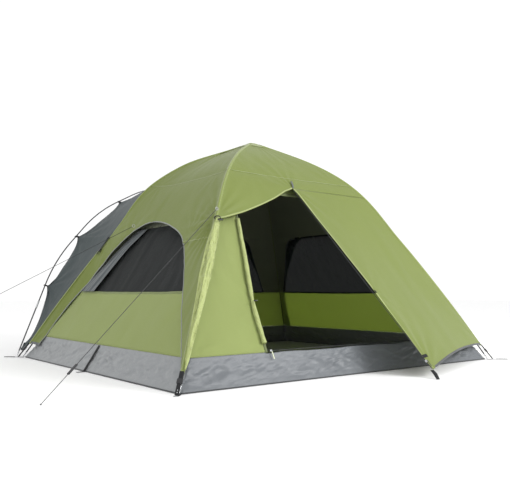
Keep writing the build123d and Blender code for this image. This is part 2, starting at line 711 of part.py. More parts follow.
group(foot_rings, "foot_rings")

PULL_TAB_LENGTH = 62.0
for corner in ("front_right", "rear_left", "rear_right"):
    plane = corner_plane(corner)
    outwards = plane.x_dir
    pivot = outwards * (FOOT_RING_REACH + PEG_RING_RADIUS + PEG_RING_RIM + 2.5) + UP * 2.5
    neck = rod(pivot, pivot + outwards * 16, 1.8)
    middle = pivot + outwards * (15 + PULL_TAB_LENGTH / 2)
    body = block(Plane(origin=middle, x_dir=outwards, z_dir=UP), PULL_TAB_LENGTH, 13, 4.4, 1.5)
    with BuildPart() as tab:
        add(neck)
        add(body)
    finish(tab, f"corner_tab_{corner}")

EYELET_RADIUS = 5.0
EYELET_COLLAR = 7.0
EYELET_FLANGE = 9.0
EYELET_REACH = FLOOR_WIDTH / 2 + 32.0
TAB_THICKNESS = 1.5
band_share = (FLOOR_WIDTH / 2) * (1 - tub_top_scale) / TUB_HEIGHT
side_tabs = []
eyelets = []
for sign in (-1, 1):
    top = FLOOR_WIDTH / 2 - band_share * (TUB_HEIGHT - 2)
    outline = [
        (top + 0.8, TUB_HEIGHT - 2),
        (top + 2.8, TUB_HEIGHT - 2),
        (FLOOR_WIDTH / 2 + 2.6, TAB_THICKNESS),
        (EYELET_REACH + 14, TAB_THICKNESS),
        (EYELET_REACH + 14, 0),
        (FLOOR_WIDTH / 2 + 0.8, 0),
    ]
    with BuildPart() as side_tab:
        with BuildSketch(Plane.XZ):
            with BuildLine():
                Polyline(*[(sign * x, z) for x, z in outline], close=True)
            make_face()
        extrude(amount=12, both=True)
        with BuildSketch():
            with Locations((sign * EYELET_REACH, 0)):
                Circle(EYELET_COLLAR + 0.1)
        extrude(amount=10, mode=Mode.SUBTRACT)
    side_tabs.append(side_tab.part)
    with BuildPart() as eyelet:
        with BuildSketch(Plane(origin=(sign * EYELET_REACH, 0, 0))):
            Circle(EYELET_COLLAR)
        extrude(amount=2.4)
        with BuildSketch(Plane(origin=(sign * EYELET_REACH, 0, TAB_THICKNESS + 0.2))):
            Circle(EYELET_FLANGE)
        extrude(amount=0.7)
        with BuildSketch(Plane(origin=(sign * EYELET_REACH, 0, 0))):
            Circle(EYELET_RADIUS)
        extrude(amount=5, mode=Mode.SUBTRACT)
    eyelets.append(eyelet.part)
group(eyelets, "peg_eyelets")

# A webbing strap hangs down the rear-left ridge, with a ladder-lock buckle near its end.
ridge_high = ridge_point("rear_left", 845) - Vector(0, 4, 0)
ridge_low = ridge_point("rear_left", 712) - Vector(0, 34, 0)
ridge_down = (ridge_low - ridge_high).normalized()
ridge_out = Vector(-1, 0, 0.7)
ridge_normal = (ridge_out - ridge_down * ridge_out.dot(ridge_down)).normalized()
strap_start = ridge_high + ridge_normal * 9
ridge_frame = Plane(origin=strap_start + ridge_down * 75, x_dir=ridge_down, z_dir=ridge_normal)
ridge_strap = block(ridge_frame, 150, 15, 1.5)
buckle_frame = Plane(origin=strap_start + ridge_down * 112, x_dir=ridge_down, z_dir=ridge_normal)
buckle_body = block(buckle_frame, 26, 24, 8, 1.5)
buckle_slot = block(buckle_frame, 60, 16.2, 3.2)
with BuildPart() as ridge_buckle:
    add(buckle_body)
    add(buckle_slot, mode=Mode.SUBTRACT)
finish(ridge_buckle, "ridge_buckle")

# The flap's tip ends in a webbing loop that reaches the ground.
loop_top = FLAP_TIP + Vector(-3, -5, -3)
loop_foot = Vector(103, -1467, 3)
loop_down = (loop_foot - loop_top).normalized()
loop_normal = loop_down.cross(Vector(1, -0.6, 0)).normalized()
loop_frame = Plane(origin=(loop_top + loop_foot) / 2, x_dir=loop_down, z_dir=loop_normal)
tip_loop = block(loop_frame, (loop_foot - loop_top).length, 16, 2.4, 0.8)
group(straps + side_tabs + [tip_loop], "ground_straps")
group(tabs + [ridge_strap], "flysheet_tabs")

# ---------------------------------------------------------------- guy lines
GUY_RING_OUT = 13.0
front_ring_centre = ridge_point("front_left", 915) + gather_normal * GUY_RING_OUT
side_ring_skin = Vector(-SHARE_X * reach_at(SKIN_PROFILE, 896), 335, 896)
side_ring_centre = side_ring_skin + Vector(-0.76, 0, 0.65).normalized() * GUY_RING_OUT
guy_rings = []
knots = []
for name, centre, end, place in (
    ("front", front_ring_centre, GUY_FRONT_END, 0.865),
    ("side", side_ring_centre, GUY_SIDE_END, 0.8),
):
    taut = (end - centre).normalized()
    ring_axis = taut.cross(UP).normalized()
    guy_rings.append(ring(centre, ring_axis, RING_RADIUS, RING_WIRE))
    start = centre + taut * (RING_RADIUS + RING_WIRE + 0.2)
    cord_end = end - taut * KNOT_RADIUS
    group([rod(start, cord_end, CORD_RADIUS)], f"guy_line_{name}")
    expected = math.pi * CORD_RADIUS**2 * (cord_end - start).length
    written = rod(start, cord_end, CORD_RADIUS).volume
    length = round((cord_end - start).length, 1)
    print("guy line", name, "length", length, "volume ratio", round(written / expected, 4))
    centre_place = start + (cord_end - start) * place
    frame = Plane(origin=centre_place, x_dir=taut, z_dir=ring_axis.cross(taut).normalized())
    body = block(frame, TENSIONER_LENGTH, 13, 7, 2.0)
    tunnel = rod(centre_place - taut * 50, centre_place + taut * 50, CORD_RADIUS + 0.35)
    with BuildPart() as tensioner:
        add(body)
        add(tunnel, mode=Mode.SUBTRACT)
    finish(tensioner, f"tensioner_{name}")
    with BuildPart() as knot:
        with Locations(end):
            Sphere(KNOT_RADIUS)
    knots.append(knot.part)
    print("tensioner", name, "centre", centre_place, "direction", taut)
group(guy_rings, "guy_rings")
group(knots, "guy_knots")

# ---------------------------------------------------------------- places that the joints use
print("fly zip: centre", fly_slider_centre, "down", zip_down, "normal", flap_normal)
print("fly pull pivot", fly_pull_pivot, "travel", (fly_slider_centre - coil_start).length)
print("door zip: centre", door_slider_centre, "pull pivot", door_pull_pivot, "normal", band_normal)
print("door toggle", door_toggle_centre, "inner toggle", inner_toggle_centre)
print("corner strap direction in its plane", strap_along, "ridge strap direction", ridge_down)
print("hoop clips", hoop_clip_places)
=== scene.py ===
import bpy
import json
import math
import numpy as np
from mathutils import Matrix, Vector


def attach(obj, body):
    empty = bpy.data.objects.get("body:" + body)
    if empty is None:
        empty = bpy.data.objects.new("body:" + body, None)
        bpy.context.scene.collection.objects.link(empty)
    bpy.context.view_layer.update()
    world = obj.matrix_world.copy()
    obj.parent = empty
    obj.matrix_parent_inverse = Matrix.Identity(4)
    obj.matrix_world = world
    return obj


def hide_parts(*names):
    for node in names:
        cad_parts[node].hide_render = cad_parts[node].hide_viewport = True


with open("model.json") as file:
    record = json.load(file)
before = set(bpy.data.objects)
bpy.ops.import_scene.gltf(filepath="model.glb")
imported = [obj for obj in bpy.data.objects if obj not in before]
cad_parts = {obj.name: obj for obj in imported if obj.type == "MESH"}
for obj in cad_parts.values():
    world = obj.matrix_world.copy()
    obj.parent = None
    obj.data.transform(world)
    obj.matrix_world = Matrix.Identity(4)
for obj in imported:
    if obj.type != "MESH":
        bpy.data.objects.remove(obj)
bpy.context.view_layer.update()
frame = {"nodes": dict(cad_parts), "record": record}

# ---------------------------------------------------------------- shape of the dome, in metres
HALF_X, HALF_Y = 1.225, 1.05
CORNER = math.hypot(HALF_X, HALF_Y)
SX, SY = HALF_X / CORNER, HALF_Y / CORNER
UP = np.array([0.0, 0.0, 1.0])
CORNERS = {"front_left": (-1, -1), "front_right": (1, -1), "rear_left": (-1, 1), "rear_right": (1, 1)}
# height, and a corner ridge's distance from the centre line there: the flysheet's and the inner tent's
SKIN = [(0, 1.641), (0.4, 1.36), (0.82, 1.035), (1.21, 0.69), (1.36, 0.434), (1.51, 0.045)]
INNER = [(0, 1.6134), (0.15, 1.49), (0.4, 1.29), (0.82, 0.957), (1.21, 0.605), (1.36, 0.345), (1.462, 0.06)]
HEM = 0.1
CROWN = 1.51
SEAM_Z = 1.2
GATHER_Z = 0.868
PEAK_X, PEAK_Z = -0.068, 1.12
TIP = np.array([0.15, -1.4, 0.044])
BAND_TOP = 0.150
INNER_TOP = 1.459
# how high the cloth stands over a pole, and how far from the ridge that shows
POLE_BULGE, BULGE_WIDTH = 0.0035, 0.016
# the dip beside a sewn seam
SEAM_DIP, SEAM_DIP_WIDTH = 0.0022, 0.012
SWELL_WAY = np.array([-0.55, 0.30, 0.78])


def unit(v):
    v = np.asarray(v, float)
    return v / np.maximum(np.linalg.norm(v, axis=-1, keepdims=True), 1e-12)


def ramp(x, start, length):
    """Rises evenly from 0 at start to 1 a length further on."""
    return np.clip((x - start) / length, 0, 1)


def fall(x, end, length):
    """Falls evenly to 0 at end, from 1 a length before it."""
    return np.clip((end - x) / length, 0, 1)


def reach(profile, z):
    """A corner ridge's distance from the centre line at heights z, on a smooth curve through the profile."""
    z = np.asarray(z, float)
    pts = np.array(profile, float)
    slopes = np.diff(pts[:, 1]) / np.diff(pts[:, 0])
    ends = np.concatenate([[slopes[0]], (slopes[1:] + slopes[:-1]) / 2, [slopes[-1]]])
    i = np.clip(np.searchsorted(pts[:, 0], z, side="left") - 1, 0, len(slopes) - 1)
    step = pts[i + 1, 0] - pts[i, 0]
    t = (z - pts[i, 0]) / step
    a = (1 + 2 * t) * (1 - t) ** 2 * pts[i, 1] + t * (1 - t) ** 2 * step * ends[i]
    return a + t * t * (3 - 2 * t) * pts[i + 1, 1] + t * t * (t - 1) * step * ends[i + 1]


PEAK = np.array([PEAK_X, -SY * float(reach(SKIN, PEAK_Z)), PEAK_Z])


def face(side, profile, s, z):
    """Points of one side of the dome: s is the distance along it from its middle, z the height."""
    s, z, r = np.broadcast_arrays(s, z, reach(profile, z))
    if side in ("left", "right"):
        return np.stack([(SX if side == "right" else -SX) * r, s, z], -1)
    return np.stack([s, (SY if side == "rear" else -SY) * r, z], -1)


def ridge(corner, z, profile=SKIN):
    """Points of a corner ridge at heights z."""
    sx, sy = CORNERS[corner]
    r = reach(profile, z)
    return np.stack([sx * SX * r, sy * SY * r, np.broadcast_to(z, np.shape(r))], -1)


def ridge_out(corner, z, profile=SKIN):
    """The ways out of the dome, square to a corner ridge at heights z."""
    sx, sy = CORNERS[corner]
    slope = np.gradient(reach(profile, z), z)
    return unit(np.stack([np.full_like(z, sx * SX), np.full_like(z, sy * SY), -slope], -1))


def radial(corner):
    sx, sy = CORNERS[corner]
    return np.array([sx * SX, sy * SY, 0.0])


def swell(z):
    """How far the rear ridges bow out between the shoulder and the crown, where the awning pulls on them."""
    up = ramp(z, 0.93, 0.27)
    down = fall(z, 1.50, 0.16)
    return 0.026 * up * up * (3 - 2 * up) * down * down * (3 - 2 * down)


def over_pole(d):
    """How high the cloth stands at a distance d from the ridge whose pole it runs over."""
    return POLE_BULGE * np.exp(-((d / BULGE_WIDTH) ** 2)) * (d > 1e-5)


def seam_dip(z):
    """How deep the cloth dips beside the level seam, where two cuts are sewn."""
    return SEAM_DIP * np.exp(-(((z - SEAM_Z) / SEAM_DIP_WIDTH) ** 2))


# ---------------------------------------------------------------- smooth noise
def lattice(x, y, seed):
    """Smooth value noise from -1 to 1 over a plane."""
    cells = 97
    table = np.random.RandomState(seed).rand(cells, cells) * 2 - 1
    x, y = np.broadcast_arrays(x, y)
    x0, y0 = np.floor(x).astype(int), np.floor(y).astype(int)
    fx, fy = x - x0, y - y0
    fx, fy = fx**3 * (fx * (6 * fx - 15) + 10), fy**3 * (fy * (6 * fy - 15) + 10)
    at = lambda i, j: table[(x0 + i) % cells, (y0 + j) % cells]
    low = at(0, 0) * (1 - fx) + at(1, 0) * fx
    high = at(0, 1) * (1 - fx) + at(1, 1) * fx
    return low * (1 - fy) + high * fy


def noise(x, y, seed, octaves=3):
    return sum(0.5**k * lattice(x * 2**k + 13.7 * k, y * 2**k - 7.1 * k, seed + k) for k in range(octaves))


def radiating(s, z, pulls):
    """Folds that run out from the places where a cloth is held: (s, z, height, reach, folds, seed)."""
    total = np.zeros(np.broadcast(s, z).shape)
    for s0, z0, height, length, folds, seed in pulls:
        d = np.hypot(s - s0, z - z0)
        angle = np.arctan2(z - z0, s - s0)
        wave = np.sin(folds * angle + 1.7 * seed + 1.2 * lattice(angle * 2.3 + 9, d * 3 + 5, seed))
        total += height * np.sign(wave) * np.abs(wave) ** 1.4 * (d / (d + 0.05)) * np.exp(-d / length)
    return total


# ---------------------------------------------------------------- runs of points
def even(points, count):
    """The same run with its points evenly spaced."""
    points = np.asarray(points, float)
    length = np.concatenate([[0], np.cumsum(np.linalg.norm(np.diff(points, axis=0), axis=1))])
    want = np.linspace(0, length[-1], count)
    return np.stack([np.interp(want, length, column) for column in points.T], -1)


def smooth_run(points, count):
    """Even points along a smooth curve through the given ones."""
    p = np.asarray(points, float)
    q = np.concatenate([[2 * p[0] - p[1]], p, [2 * p[-1] - p[-2]]])
    t = np.linspace(0, 1, 24, endpoint=False)[:, None]
    out = []
    for a, b, c, d in zip(q, q[1:], q[2:], q[3:]):
        square, cube = 2 * a - 5 * b + 4 * c - d, 3 * b - a - 3 * c + d
        out.append(0.5 * (2 * b + (c - a) * t + square * t**2 + cube * t**3))
    return even(np.concatenate(out + [p[-1:]]), count)


def ring(count):
    """Even angles once round."""
    return np.linspace(0, math.tau, count, endpoint=False)


def cosine_steps(count):
    """Steps from 0 to 1, closer together at both ends."""
    return (1 - np.cos(np.linspace(0, math.pi, count))) / 2


def ease(count, power):
    """Steps from 0 to 1, closer together towards 1."""
    return 1 - (1 - np.linspace(0, 1, count)) ** power


def frames_along(pts, up=UP):
    """Side and up directions square to a run of points."""
    tangent = unit(np.gradient(pts, axis=0))
    side = unit(np.cross(tangent, np.broadcast_to(up, tangent.shape)))
    return side, unit(np.cross(side, tangent))


def normals_of(P, axis=None, sign=1):
    """The normals of a grid of points, all turned to the same side along an axis where one is given."""
    N = unit(np.cross(np.gradient(P, axis=1), np.gradient(P, axis=0)))
    return N if axis is None else N * np.sign(N[..., axis : axis + 1] * sign)


def build(name, verts, faces, look, slot=None, body="tent", stands_for=(), uv=None):
    """A smooth mesh object, fixed to a body of the frame and given its material."""
    mesh = bpy.data.meshes.new(name)
    mesh.from_pydata([tuple(map(float, v)) for v in verts], [], [tuple(map(int, f)) for f in faces])
    mesh.update()
    mesh.polygons.foreach_set("use_smooth", [True] * len(mesh.polygons))
    if uv is not None:
        layer = mesh.uv_layers.new(name="flat")
        index = np.empty(len(mesh.loops), int)
        mesh.loops.foreach_get("vertex_index", index)
        layer.data.foreach_set("uv", np.asarray(uv, float)[index].ravel())
    mesh.materials.append(M[look])
    obj = bpy.data.objects.new(name, mesh)
    bpy.context.scene.collection.objects.link(obj)
    return place(obj, body, stands_for)


def place(obj, body="tent", stands_for=()):
    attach(obj, body)
    if stands_for:
        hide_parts(*stands_for)
    return obj


def metric_uv(P):
    """Lengths along the cloth, in metres, from its first row and column."""
    across = np.cumsum(np.linalg.norm(np.diff(P, axis=1), axis=-1), 1)
    along = np.cumsum(np.linalg.norm(np.diff(P, axis=0), axis=-1), 0)
    return np.stack([np.pad(across, ((0, 0), (1, 0))), np.pad(along, ((1, 0), (0, 0)))], -1).reshape(-1, 2)


def grid_faces(rows, cols, start=0, wrap=False):
    i, j = np.meshgrid(np.arange(rows - 1), np.arange(cols if wrap else cols - 1), indexing="ij")
    k = (j + 1) % cols
    quads = np.stack([i * cols + j, i * cols + k, (i + 1) * cols + k, (i + 1) * cols + j], -1)
    return quads.reshape(-1, 4) + start


def cloth(name, grids, look, thickness=0.0011, flip=False, stands_for=()):
    """One cloth object from one or more grids of points, with its thickness."""
    faces, start = [], 0
    for P in grids:
        quads = grid_faces(*P.shape[:2], start)
        faces.append(quads[:, ::-1] if flip else quads)
        start += P.shape[0] * P.shape[1]
    verts = np.concatenate([P.reshape(-1, 3) for P in grids])
    uv = np.concatenate([metric_uv(P) for P in grids])
    obj = build(name, verts, np.concatenate(faces), look, stands_for=stands_for, uv=uv)
    if len(grids) > 1:
        obj.modifiers.new("weld", "WELD").merge_threshold = 0.0004
    if thickness:
        solid = obj.modifiers.new("thickness", "SOLIDIFY")
        solid.thickness = thickness
        solid.offset = 0
    return obj


def swept(name, pts, side, up, profile, look, caps=True, **kept):
    """A closed profile of (side, up) offsets carried along a run of points."""
    pts, side, up = np.asarray(pts), np.asarray(side), np.asarray(up)
    prof = np.asarray(profile, float)
    if prof.ndim == 2:
        prof = np.broadcast_to(prof, (len(pts),) + prof.shape)
    P = pts[:, None] + side[:, None] * prof[..., :1] + up[:, None] * prof[..., 1:]
    rows, cols = P.shape[:2]
    faces = [tuple(f) for f in grid_faces(rows, cols, 0, True)]
    if caps:
        faces.append(tuple(range(cols)))
        faces.append(tuple((rows - 1) * cols + k for k in reversed(range(cols))))
    return build(name, P.reshape(-1, 3), faces, look, uv=metric_uv(P), **kept)


def edge_frames(P, edge):
    """An edge of a grid of points with the ways into the cloth and out of its face."""
    pts, inner = {
        "first_row": (P[0], P[1]),
        "last_row": (P[-1], P[-2]),
        "first_col": (P[:, 0], P[:, 1]),
        "last_col": (P[:, -1], P[:, -2]),
    }[edge]
    tangent = unit(np.gradient(pts, axis=0))
    into = inner - pts
    into = unit(into - tangent * (into * tangent).sum(-1, keepdims=True))
    return pts, into, unit(np.cross(tangent, into))


def hem(name, P, edge, look, width, thick, start=0, **kept):
    """A folded hem along an edge of a cloth."""
    pts, into, n = edge_frames(P, edge)
    t = thick / 2
    profile = [(width, -t * 0.6), (0.001, -t), (-0.0012, -t * 0.5)]
    profile += [(u, -v) for u, v in profile[::-1]]
    return swept(name, pts[start:], into[start:], n[start:], profile, look, **kept)


def seam(name, pts, out, look, width=0.009, lift=0.0012, count=160, base=0.0004):
    """A flat tape sewn along a run of points, on the side that out points to."""
    pts = even(np.concatenate([pts, np.broadcast_to(unit(out), pts.shape)], -1), count)
    pts, out = pts[:, :3], unit(pts[:, 3:])
    side = unit(np.cross(unit(np.gradient(pts, axis=0)), out))
    e, w = width * 0.06, width / 2
    half = [(-w, 0), (-w, lift * 0.7), (-w + e, lift)]
    profile = half + [(0, lift * 1.15)] + [(-u, v) for u, v in half[::-1]]
    return swept(name, pts + out * base, side, out, profile, look)


def strap(name, route, out, width, thick=0.0016, count=60, look="webbing_black", **kept):
    """A webbing strap, slightly rounded at its edges."""
    pts = smooth_run(route, count)
    side, up = frames_along(pts, out)
    w, t = width / 2, thick / 2
    half = [(-w, -t * 0.7), (-w - 0.0003, 0), (-w, t * 0.7), (-w * 0.9, t), (0, t), (w * 0.9, t)]
    profile = half + [(-u, -v) for u, v in half]
    return swept(name, pts, side, up, profile, look, **kept)


# ---------------------------------------------------------------- materials
def linear(r, g, b):
    """A colour as eyes see it, 0 to 255, as the light values that shaders take."""
    f = lambda c: c / 12.92 if c <= 0.04045 else ((c + 0.055) / 1.055) ** 2.4
    return tuple(f(c / 255) for c in (r, g, b)) + (1.0,)


def scaled(colour, by, top=1.0):
    return tuple(min(top, c * by) for c in colour[:3]) + (1.0,)


def new_material(name, colour):
    """An empty node material, and a function that adds a node to it and returns the node's outputs."""
    m = bpy.data.materials.new(name)
    m.use_nodes = True
    m.diffuse_color = linear(*colour)
    m.node_tree.nodes.clear()

    def add(kind, inputs=(), **settings):
        node = m.node_tree.nodes.new("ShaderNode" + kind)
        for key, value in settings.items():
            setattr(node, key, value)
        for key, value in dict(inputs).items():
            if isinstance(value, bpy.types.NodeSocket):
                m.node_tree.links.new(value, node.inputs[key])
            else:
                node.inputs[key].default_value = value
        return node.outputs

    return m, add


def fabric(
    name, colour, rough=0.62, weave=0.0016, weave_depth=0.12, vary=0.10, glow=0.0, through=1.3, ribs=0.0,
    sheen=0.25, stitch=None, opacity=1.0, crease=0.25, crease_scale=34.0,
):
    """Woven cloth: threads both ways, fine creases, a little unevenness of colour, a soft sheen.

    Webbing has ribs across it, and a hem has rows of stitches: (distance between rows, colour).
    """
    m, add = new_material(name, colour)
    base = linear(*colour)
    coord = add("TexCoord")

    def bands(direction, period):
        inputs = {"Vector": coord["UV"], "Scale": math.tau / (20 * period), "Distortion": 0.0}
        return add("TexWave", inputs, wave_type="BANDS", bands_direction=direction, wave_profile="SIN")

    blotch = add("TexNoise", {"Vector": coord["Object"], "Scale": 3.1, "Detail": 5.0, "Roughness": 0.55})
    inputs = {"Factor": blotch["Fac"], "A": scaled(base, 1 - vary), "B": scaled(base, 1 + vary)}
    tint = add("Mix", inputs, data_type="RGBA")
    warp, weft = bands("X", weave), bands("Y", ribs or weave)
    threads = add("Math", {0: warp["Fac"], 1: weft["Fac"]}, operation="MAXIMUM" if ribs else "MULTIPLY")
    inputs = {"Factor": 0.35 if ribs else 0.10, "A": tint["Result"], "B": (weft if ribs else threads)[0]}
    shown = add("Mix", inputs, data_type="RGBA", blend_type="MULTIPLY")["Result"]
    if stitch:
        between_rows, thread = stitch
        dashes, lines = bands("Y", STITCH_LENGTH), bands("X", between_rows)
        both = add("Math", {0: dashes["Fac"], 1: lines["Fac"]}, operation="MULTIPLY")
        edge = add("MapRange", {"Value": both[0], "From Min": 0.55, "From Max": 0.75})
        inputs = {"Factor": edge["Result"], "A": shown, "B": linear(*thread)}
        shown = add("Mix", inputs, data_type="RGBA")["Result"]
    fine = add("TexNoise", {"Vector": coord["Object"], "Scale": crease_scale, "Detail": 4.0})
    depth = 0.004 if crease < 0.5 else 0.012
    creases = add("Bump", {"Height": fine["Fac"], "Strength": crease, "Distance": depth})
    inputs = {"Height": threads[0], "Normal": creases["Normal"], "Strength": weave_depth, "Distance": 0.0006}
    normal = add("Bump", inputs)["Normal"]
    last = add("BsdfPrincipled", {
        "Base Color": shown, "Normal": normal, "Roughness": rough, "Sheen Weight": sheen,
        "Sheen Roughness": 0.45, "Specular IOR Level": 0.35,
    })["BSDF"]
    if glow:
        passing = add("BsdfTranslucent", {"Color": scaled(base, through, 0.95)})
        last = add("MixShader", {"Fac": glow, 1: last, 2: passing["BSDF"]})["Shader"]
    if opacity < 1:
        clear = add("BsdfTransparent")
        last = add("MixShader", {"Fac": opacity, 1: clear["BSDF"], 2: last})["Shader"]
    add("OutputMaterial", {"Surface": last})
    return m


def solid(name, colour, rough, metal=0.0, coat=0.0, grain=0.0):
    """A hard surface, with a fine grain where one is given."""
    m, add = new_material(name, colour)
    inputs = {"Base Color": linear(*colour), "Roughness": rough, "Metallic": metal, "Coat Weight": coat}
    if grain:
        speckle = add("TexNoise", {"Vector": add("TexCoord")["Object"], "Scale": 160.0})
        bump = add("Bump", {"Height": speckle["Fac"], "Strength": grain, "Distance": 0.0005})
        inputs["Normal"] = bump["Normal"]
    add("OutputMaterial", {"Surface": add("BsdfPrincipled", inputs)["BSDF"]})
    return m


STITCH_LENGTH = 0.0045
GROUNDSHEET = dict(weave=0.0024, weave_depth=0.25)
WEBBING = dict(weave=0.0014, ribs=0.0022)
FABRICS = {
    "fly_green": dict(colour=(121, 134, 63), rough=0.52, glow=0.16, sheen=0.1, vary=0.05),
    # a lighter copy of the fly green for the gathered door: painted light on its folds
    "fly_painted_light": dict(
        colour=(176, 187, 120), rough=0.6, glow=0.10, sheen=0.3, vary=0.05, crease=1.0, crease_scale=48.0,
    ),
    "fly_hem": dict(colour=(138, 150, 84), rough=0.55, stitch=(0.012, (172, 181, 128))),
    "fly_tape": dict(colour=(118, 131, 62), rough=0.5, stitch=(0.0085, (150, 161, 104))),
    "arch_piping": dict(colour=(128, 133, 126), rough=0.6, weave=0.0012),
    # a lighter copy of the lining green for the rolled door: painted highlights
    "lining_painted_light": dict(
        colour=(178, 189, 124), rough=0.66, glow=0.16, sheen=0.2, crease=1.0, crease_scale=52.0,
    ),
    "lining_green": dict(
        colour=(160, 172, 106), rough=0.72, glow=0.34, through=1.95, weave_depth=0.2, vary=0.06,
    ),
    "lining_shade": dict(colour=(118, 122, 102), rough=0.8, glow=0.14, weave_depth=0.3, sheen=0.1),
    "lining_tape": dict(colour=(112, 124, 70), rough=0.7),
    "groundsheet_grey": dict(colour=(134, 137, 139), rough=0.42, **GROUNDSHEET),
    # a darker copy of the groundsheet grey, laid on the front of the band: painted shade
    "groundsheet_painted_shade": dict(colour=(104, 108, 112), rough=0.34, **GROUNDSHEET),
    "canopy_grey": dict(colour=(65, 74, 75), rough=0.62, glow=0.05, sheen=0.04),
    "grey_hem": dict(colour=(74, 79, 81), rough=0.6, stitch=(0.012, (116, 120, 122))),
    "window_grey": dict(colour=(84, 90, 92), rough=0.6, glow=0.05, vary=0.06),
    "mesh_black": dict(
        colour=(21, 26, 26), glow=0.22, through=4.0, rough=0.8, weave=0.0011, weave_depth=0.4, opacity=0.9,
        sheen=0.1,
    ),
    "webbing_black": dict(colour=(36, 37, 39), rough=0.85, weave_depth=0.6, sheen=0.0, **WEBBING),
    "webbing_grey": dict(colour=(98, 102, 104), rough=0.7, weave_depth=0.7, **WEBBING),
    "piping_dark": dict(colour=(58, 61, 63), rough=0.65, weave=0.001),
    "cord_dark": dict(colour=(48, 49, 50), rough=0.75, weave=0.0022, weave_depth=0.8),
    "cord_bright": dict(colour=(205, 210, 180), rough=0.75, weave=0.002, weave_depth=0.8),
    "zip_tape": dict(colour=(104, 114, 72), rough=0.7),
}
SOLIDS = {
    "zip_coil": dict(colour=(44, 46, 46), rough=0.4),
    "pole_fibreglass": dict(colour=(48, 50, 52), rough=0.28, coat=0.5),
    "metal_silver": dict(colour=(188, 190, 192), rough=0.32, metal=1.0),
    "plastic_black": dict(colour=(32, 33, 35), rough=0.42, grain=0.15),
    "elastic": dict(colour=(226, 226, 222), rough=0.6),
}
M = {name: fabric(name, **how) for name, how in FABRICS.items()}
M.update({name: solid(name, **how) for name, how in SOLIDS.items()})
node_slots = {p["node"]: p["material_slot"] for p in frame["record"]["subparts"]}
for node, obj in frame["nodes"].items():
    obj.data.materials.clear()
    obj.data.materials.append(M[node_slots[node]])


# ---------------------------------------------------------------- cords
def vertices_of(node):
    return np.array([v.co for v in frame["nodes"][node].data.vertices])


def tube_ends(node):
    """The two ends of a straight tube of the CAD, the higher one first."""
    co = vertices_of(node)
    mid = co.mean(0)
    axis = np.linalg.svd(co - mid, full_matrices=False)[2][0]
    t = (co - mid) @ axis
    ends = [co[t < t.min() + 1e-4].mean(0), co[t > t.max() - 1e-4].mean(0)]
    return sorted(ends, key=lambda p: -p[2])


def guy_line(name, node, knot_at):
    """A taut cord from its ring to the ground, as one straight run, with an overhand knot at its foot."""
    a, b = tube_ends(node)
    length = float(np.linalg.norm(b - a))
    along = (b - a) / length
    curve = bpy.data.curves.new(name, "CURVE")
    curve.dimensions = "3D"
    line = curve.splines.new("NURBS")
    stops = [a, a + along * 0.018, a + along * length / 2, b - along * 0.018, b]
    line.points.add(len(stops) - 1)
    for p, q in zip(line.points, stops):
        p.co = (*q, 1)
    line.order_u = 3
    line.use_endpoint_u = True
    curve.bevel_depth = 0.0015
    curve.bevel_resolution = 3
    curve.resolution_u = 12
    curve.use_fill_caps = True
    curve.materials.append(M["cord_dark"])
    obj = bpy.data.objects.new(name, curve)
    bpy.context.scene.collection.objects.link(obj)
    place(obj, stands_for=[node])
    knot = overhand_knot(name + "_knot", knot_at, along)
    list(map(float, a))
    return knot


def overhand_knot(name, centre, along):
    """A small trefoil of cord, lying across the cord's direction and just clear of the ground."""
    thick, clear, sides = 0.0012, 0.0003, 10
    t = ring(90)
    loop = np.stack([np.sin(t) + 2 * np.sin(2 * t), np.cos(t) - 2 * np.cos(2 * t), -np.sin(3 * t)], -1)
    s = unit(np.cross(along, UP))
    u = unit(np.cross(s, along))
    pts = np.array(centre) + 0.00115 * (loop[:, :1] * along + loop[:, 1:2] * s) + thick * loop[:, 2:] * u
    pts[:, 2] += max(0, clear + thick - pts[:, 2].min())
    side, up = frames_along(pts, u)
    around = ring(sides)[:, None]
    P = pts[:, None] + thick * (side[:, None] * np.cos(around) + up[:, None] * np.sin(around))
    faces = grid_faces(len(pts) + 1, sides, 0, True) % (len(pts) * sides)
    return build(name, P.reshape(-1, 3), faces, "cord_dark")


knot = guy_line("guy_front_cord", "guy_line_front", (-1.805, -0.93, 0.005))
guy_line("guy_side_cord", "guy_line_side", (-2.32, 0.76, 0.005))
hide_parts("guy_knots")

# ---------------------------------------------------------------- flysheet sides
# the edge of the arch cut-out, as (distance along the side, height) from its front foot to its rear one
ARCH = smooth_run([
    (-1.010, 0.084), (-0.7125, 0.413), (-0.415, 0.742), (-0.15, 0.868), (0.12, 0.922), (0.32, 0.885),
    (0.455, 0.795), (0.612, 0.64), (0.74, 0.47), (0.835, 0.28), (0.90, 0.084),
], 2401)
ARCH_PEAK = int(np.argmax(ARCH[:, 1]))
ARCH_S, ARCH_Z = ARCH[ARCH_PEAK]
ARCH_SIDES = {-1: ARCH[: ARCH_PEAK + 1], 1: ARCH[ARCH_PEAK:][::-1]}
FLY_COLUMNS = 46
FLY_TOP = CROWN - 0.004
low = even(ARCH_SIDES[-1], 84)[:, 1]
low = np.maximum.accumulate(low[low > HEM + 0.006])
fly_rows = np.concatenate([[HEM], low, np.linspace(ARCH_Z, FLY_TOP, 50)[1:]])


def arch_edge(end, z):
    """Where the edge of the arch cut-out lies at heights z, on its front (-1) or rear (1) side."""
    line = ARCH_SIDES[end]
    return np.interp(z, np.maximum.accumulate(line[:, 1]), line[:, 0])


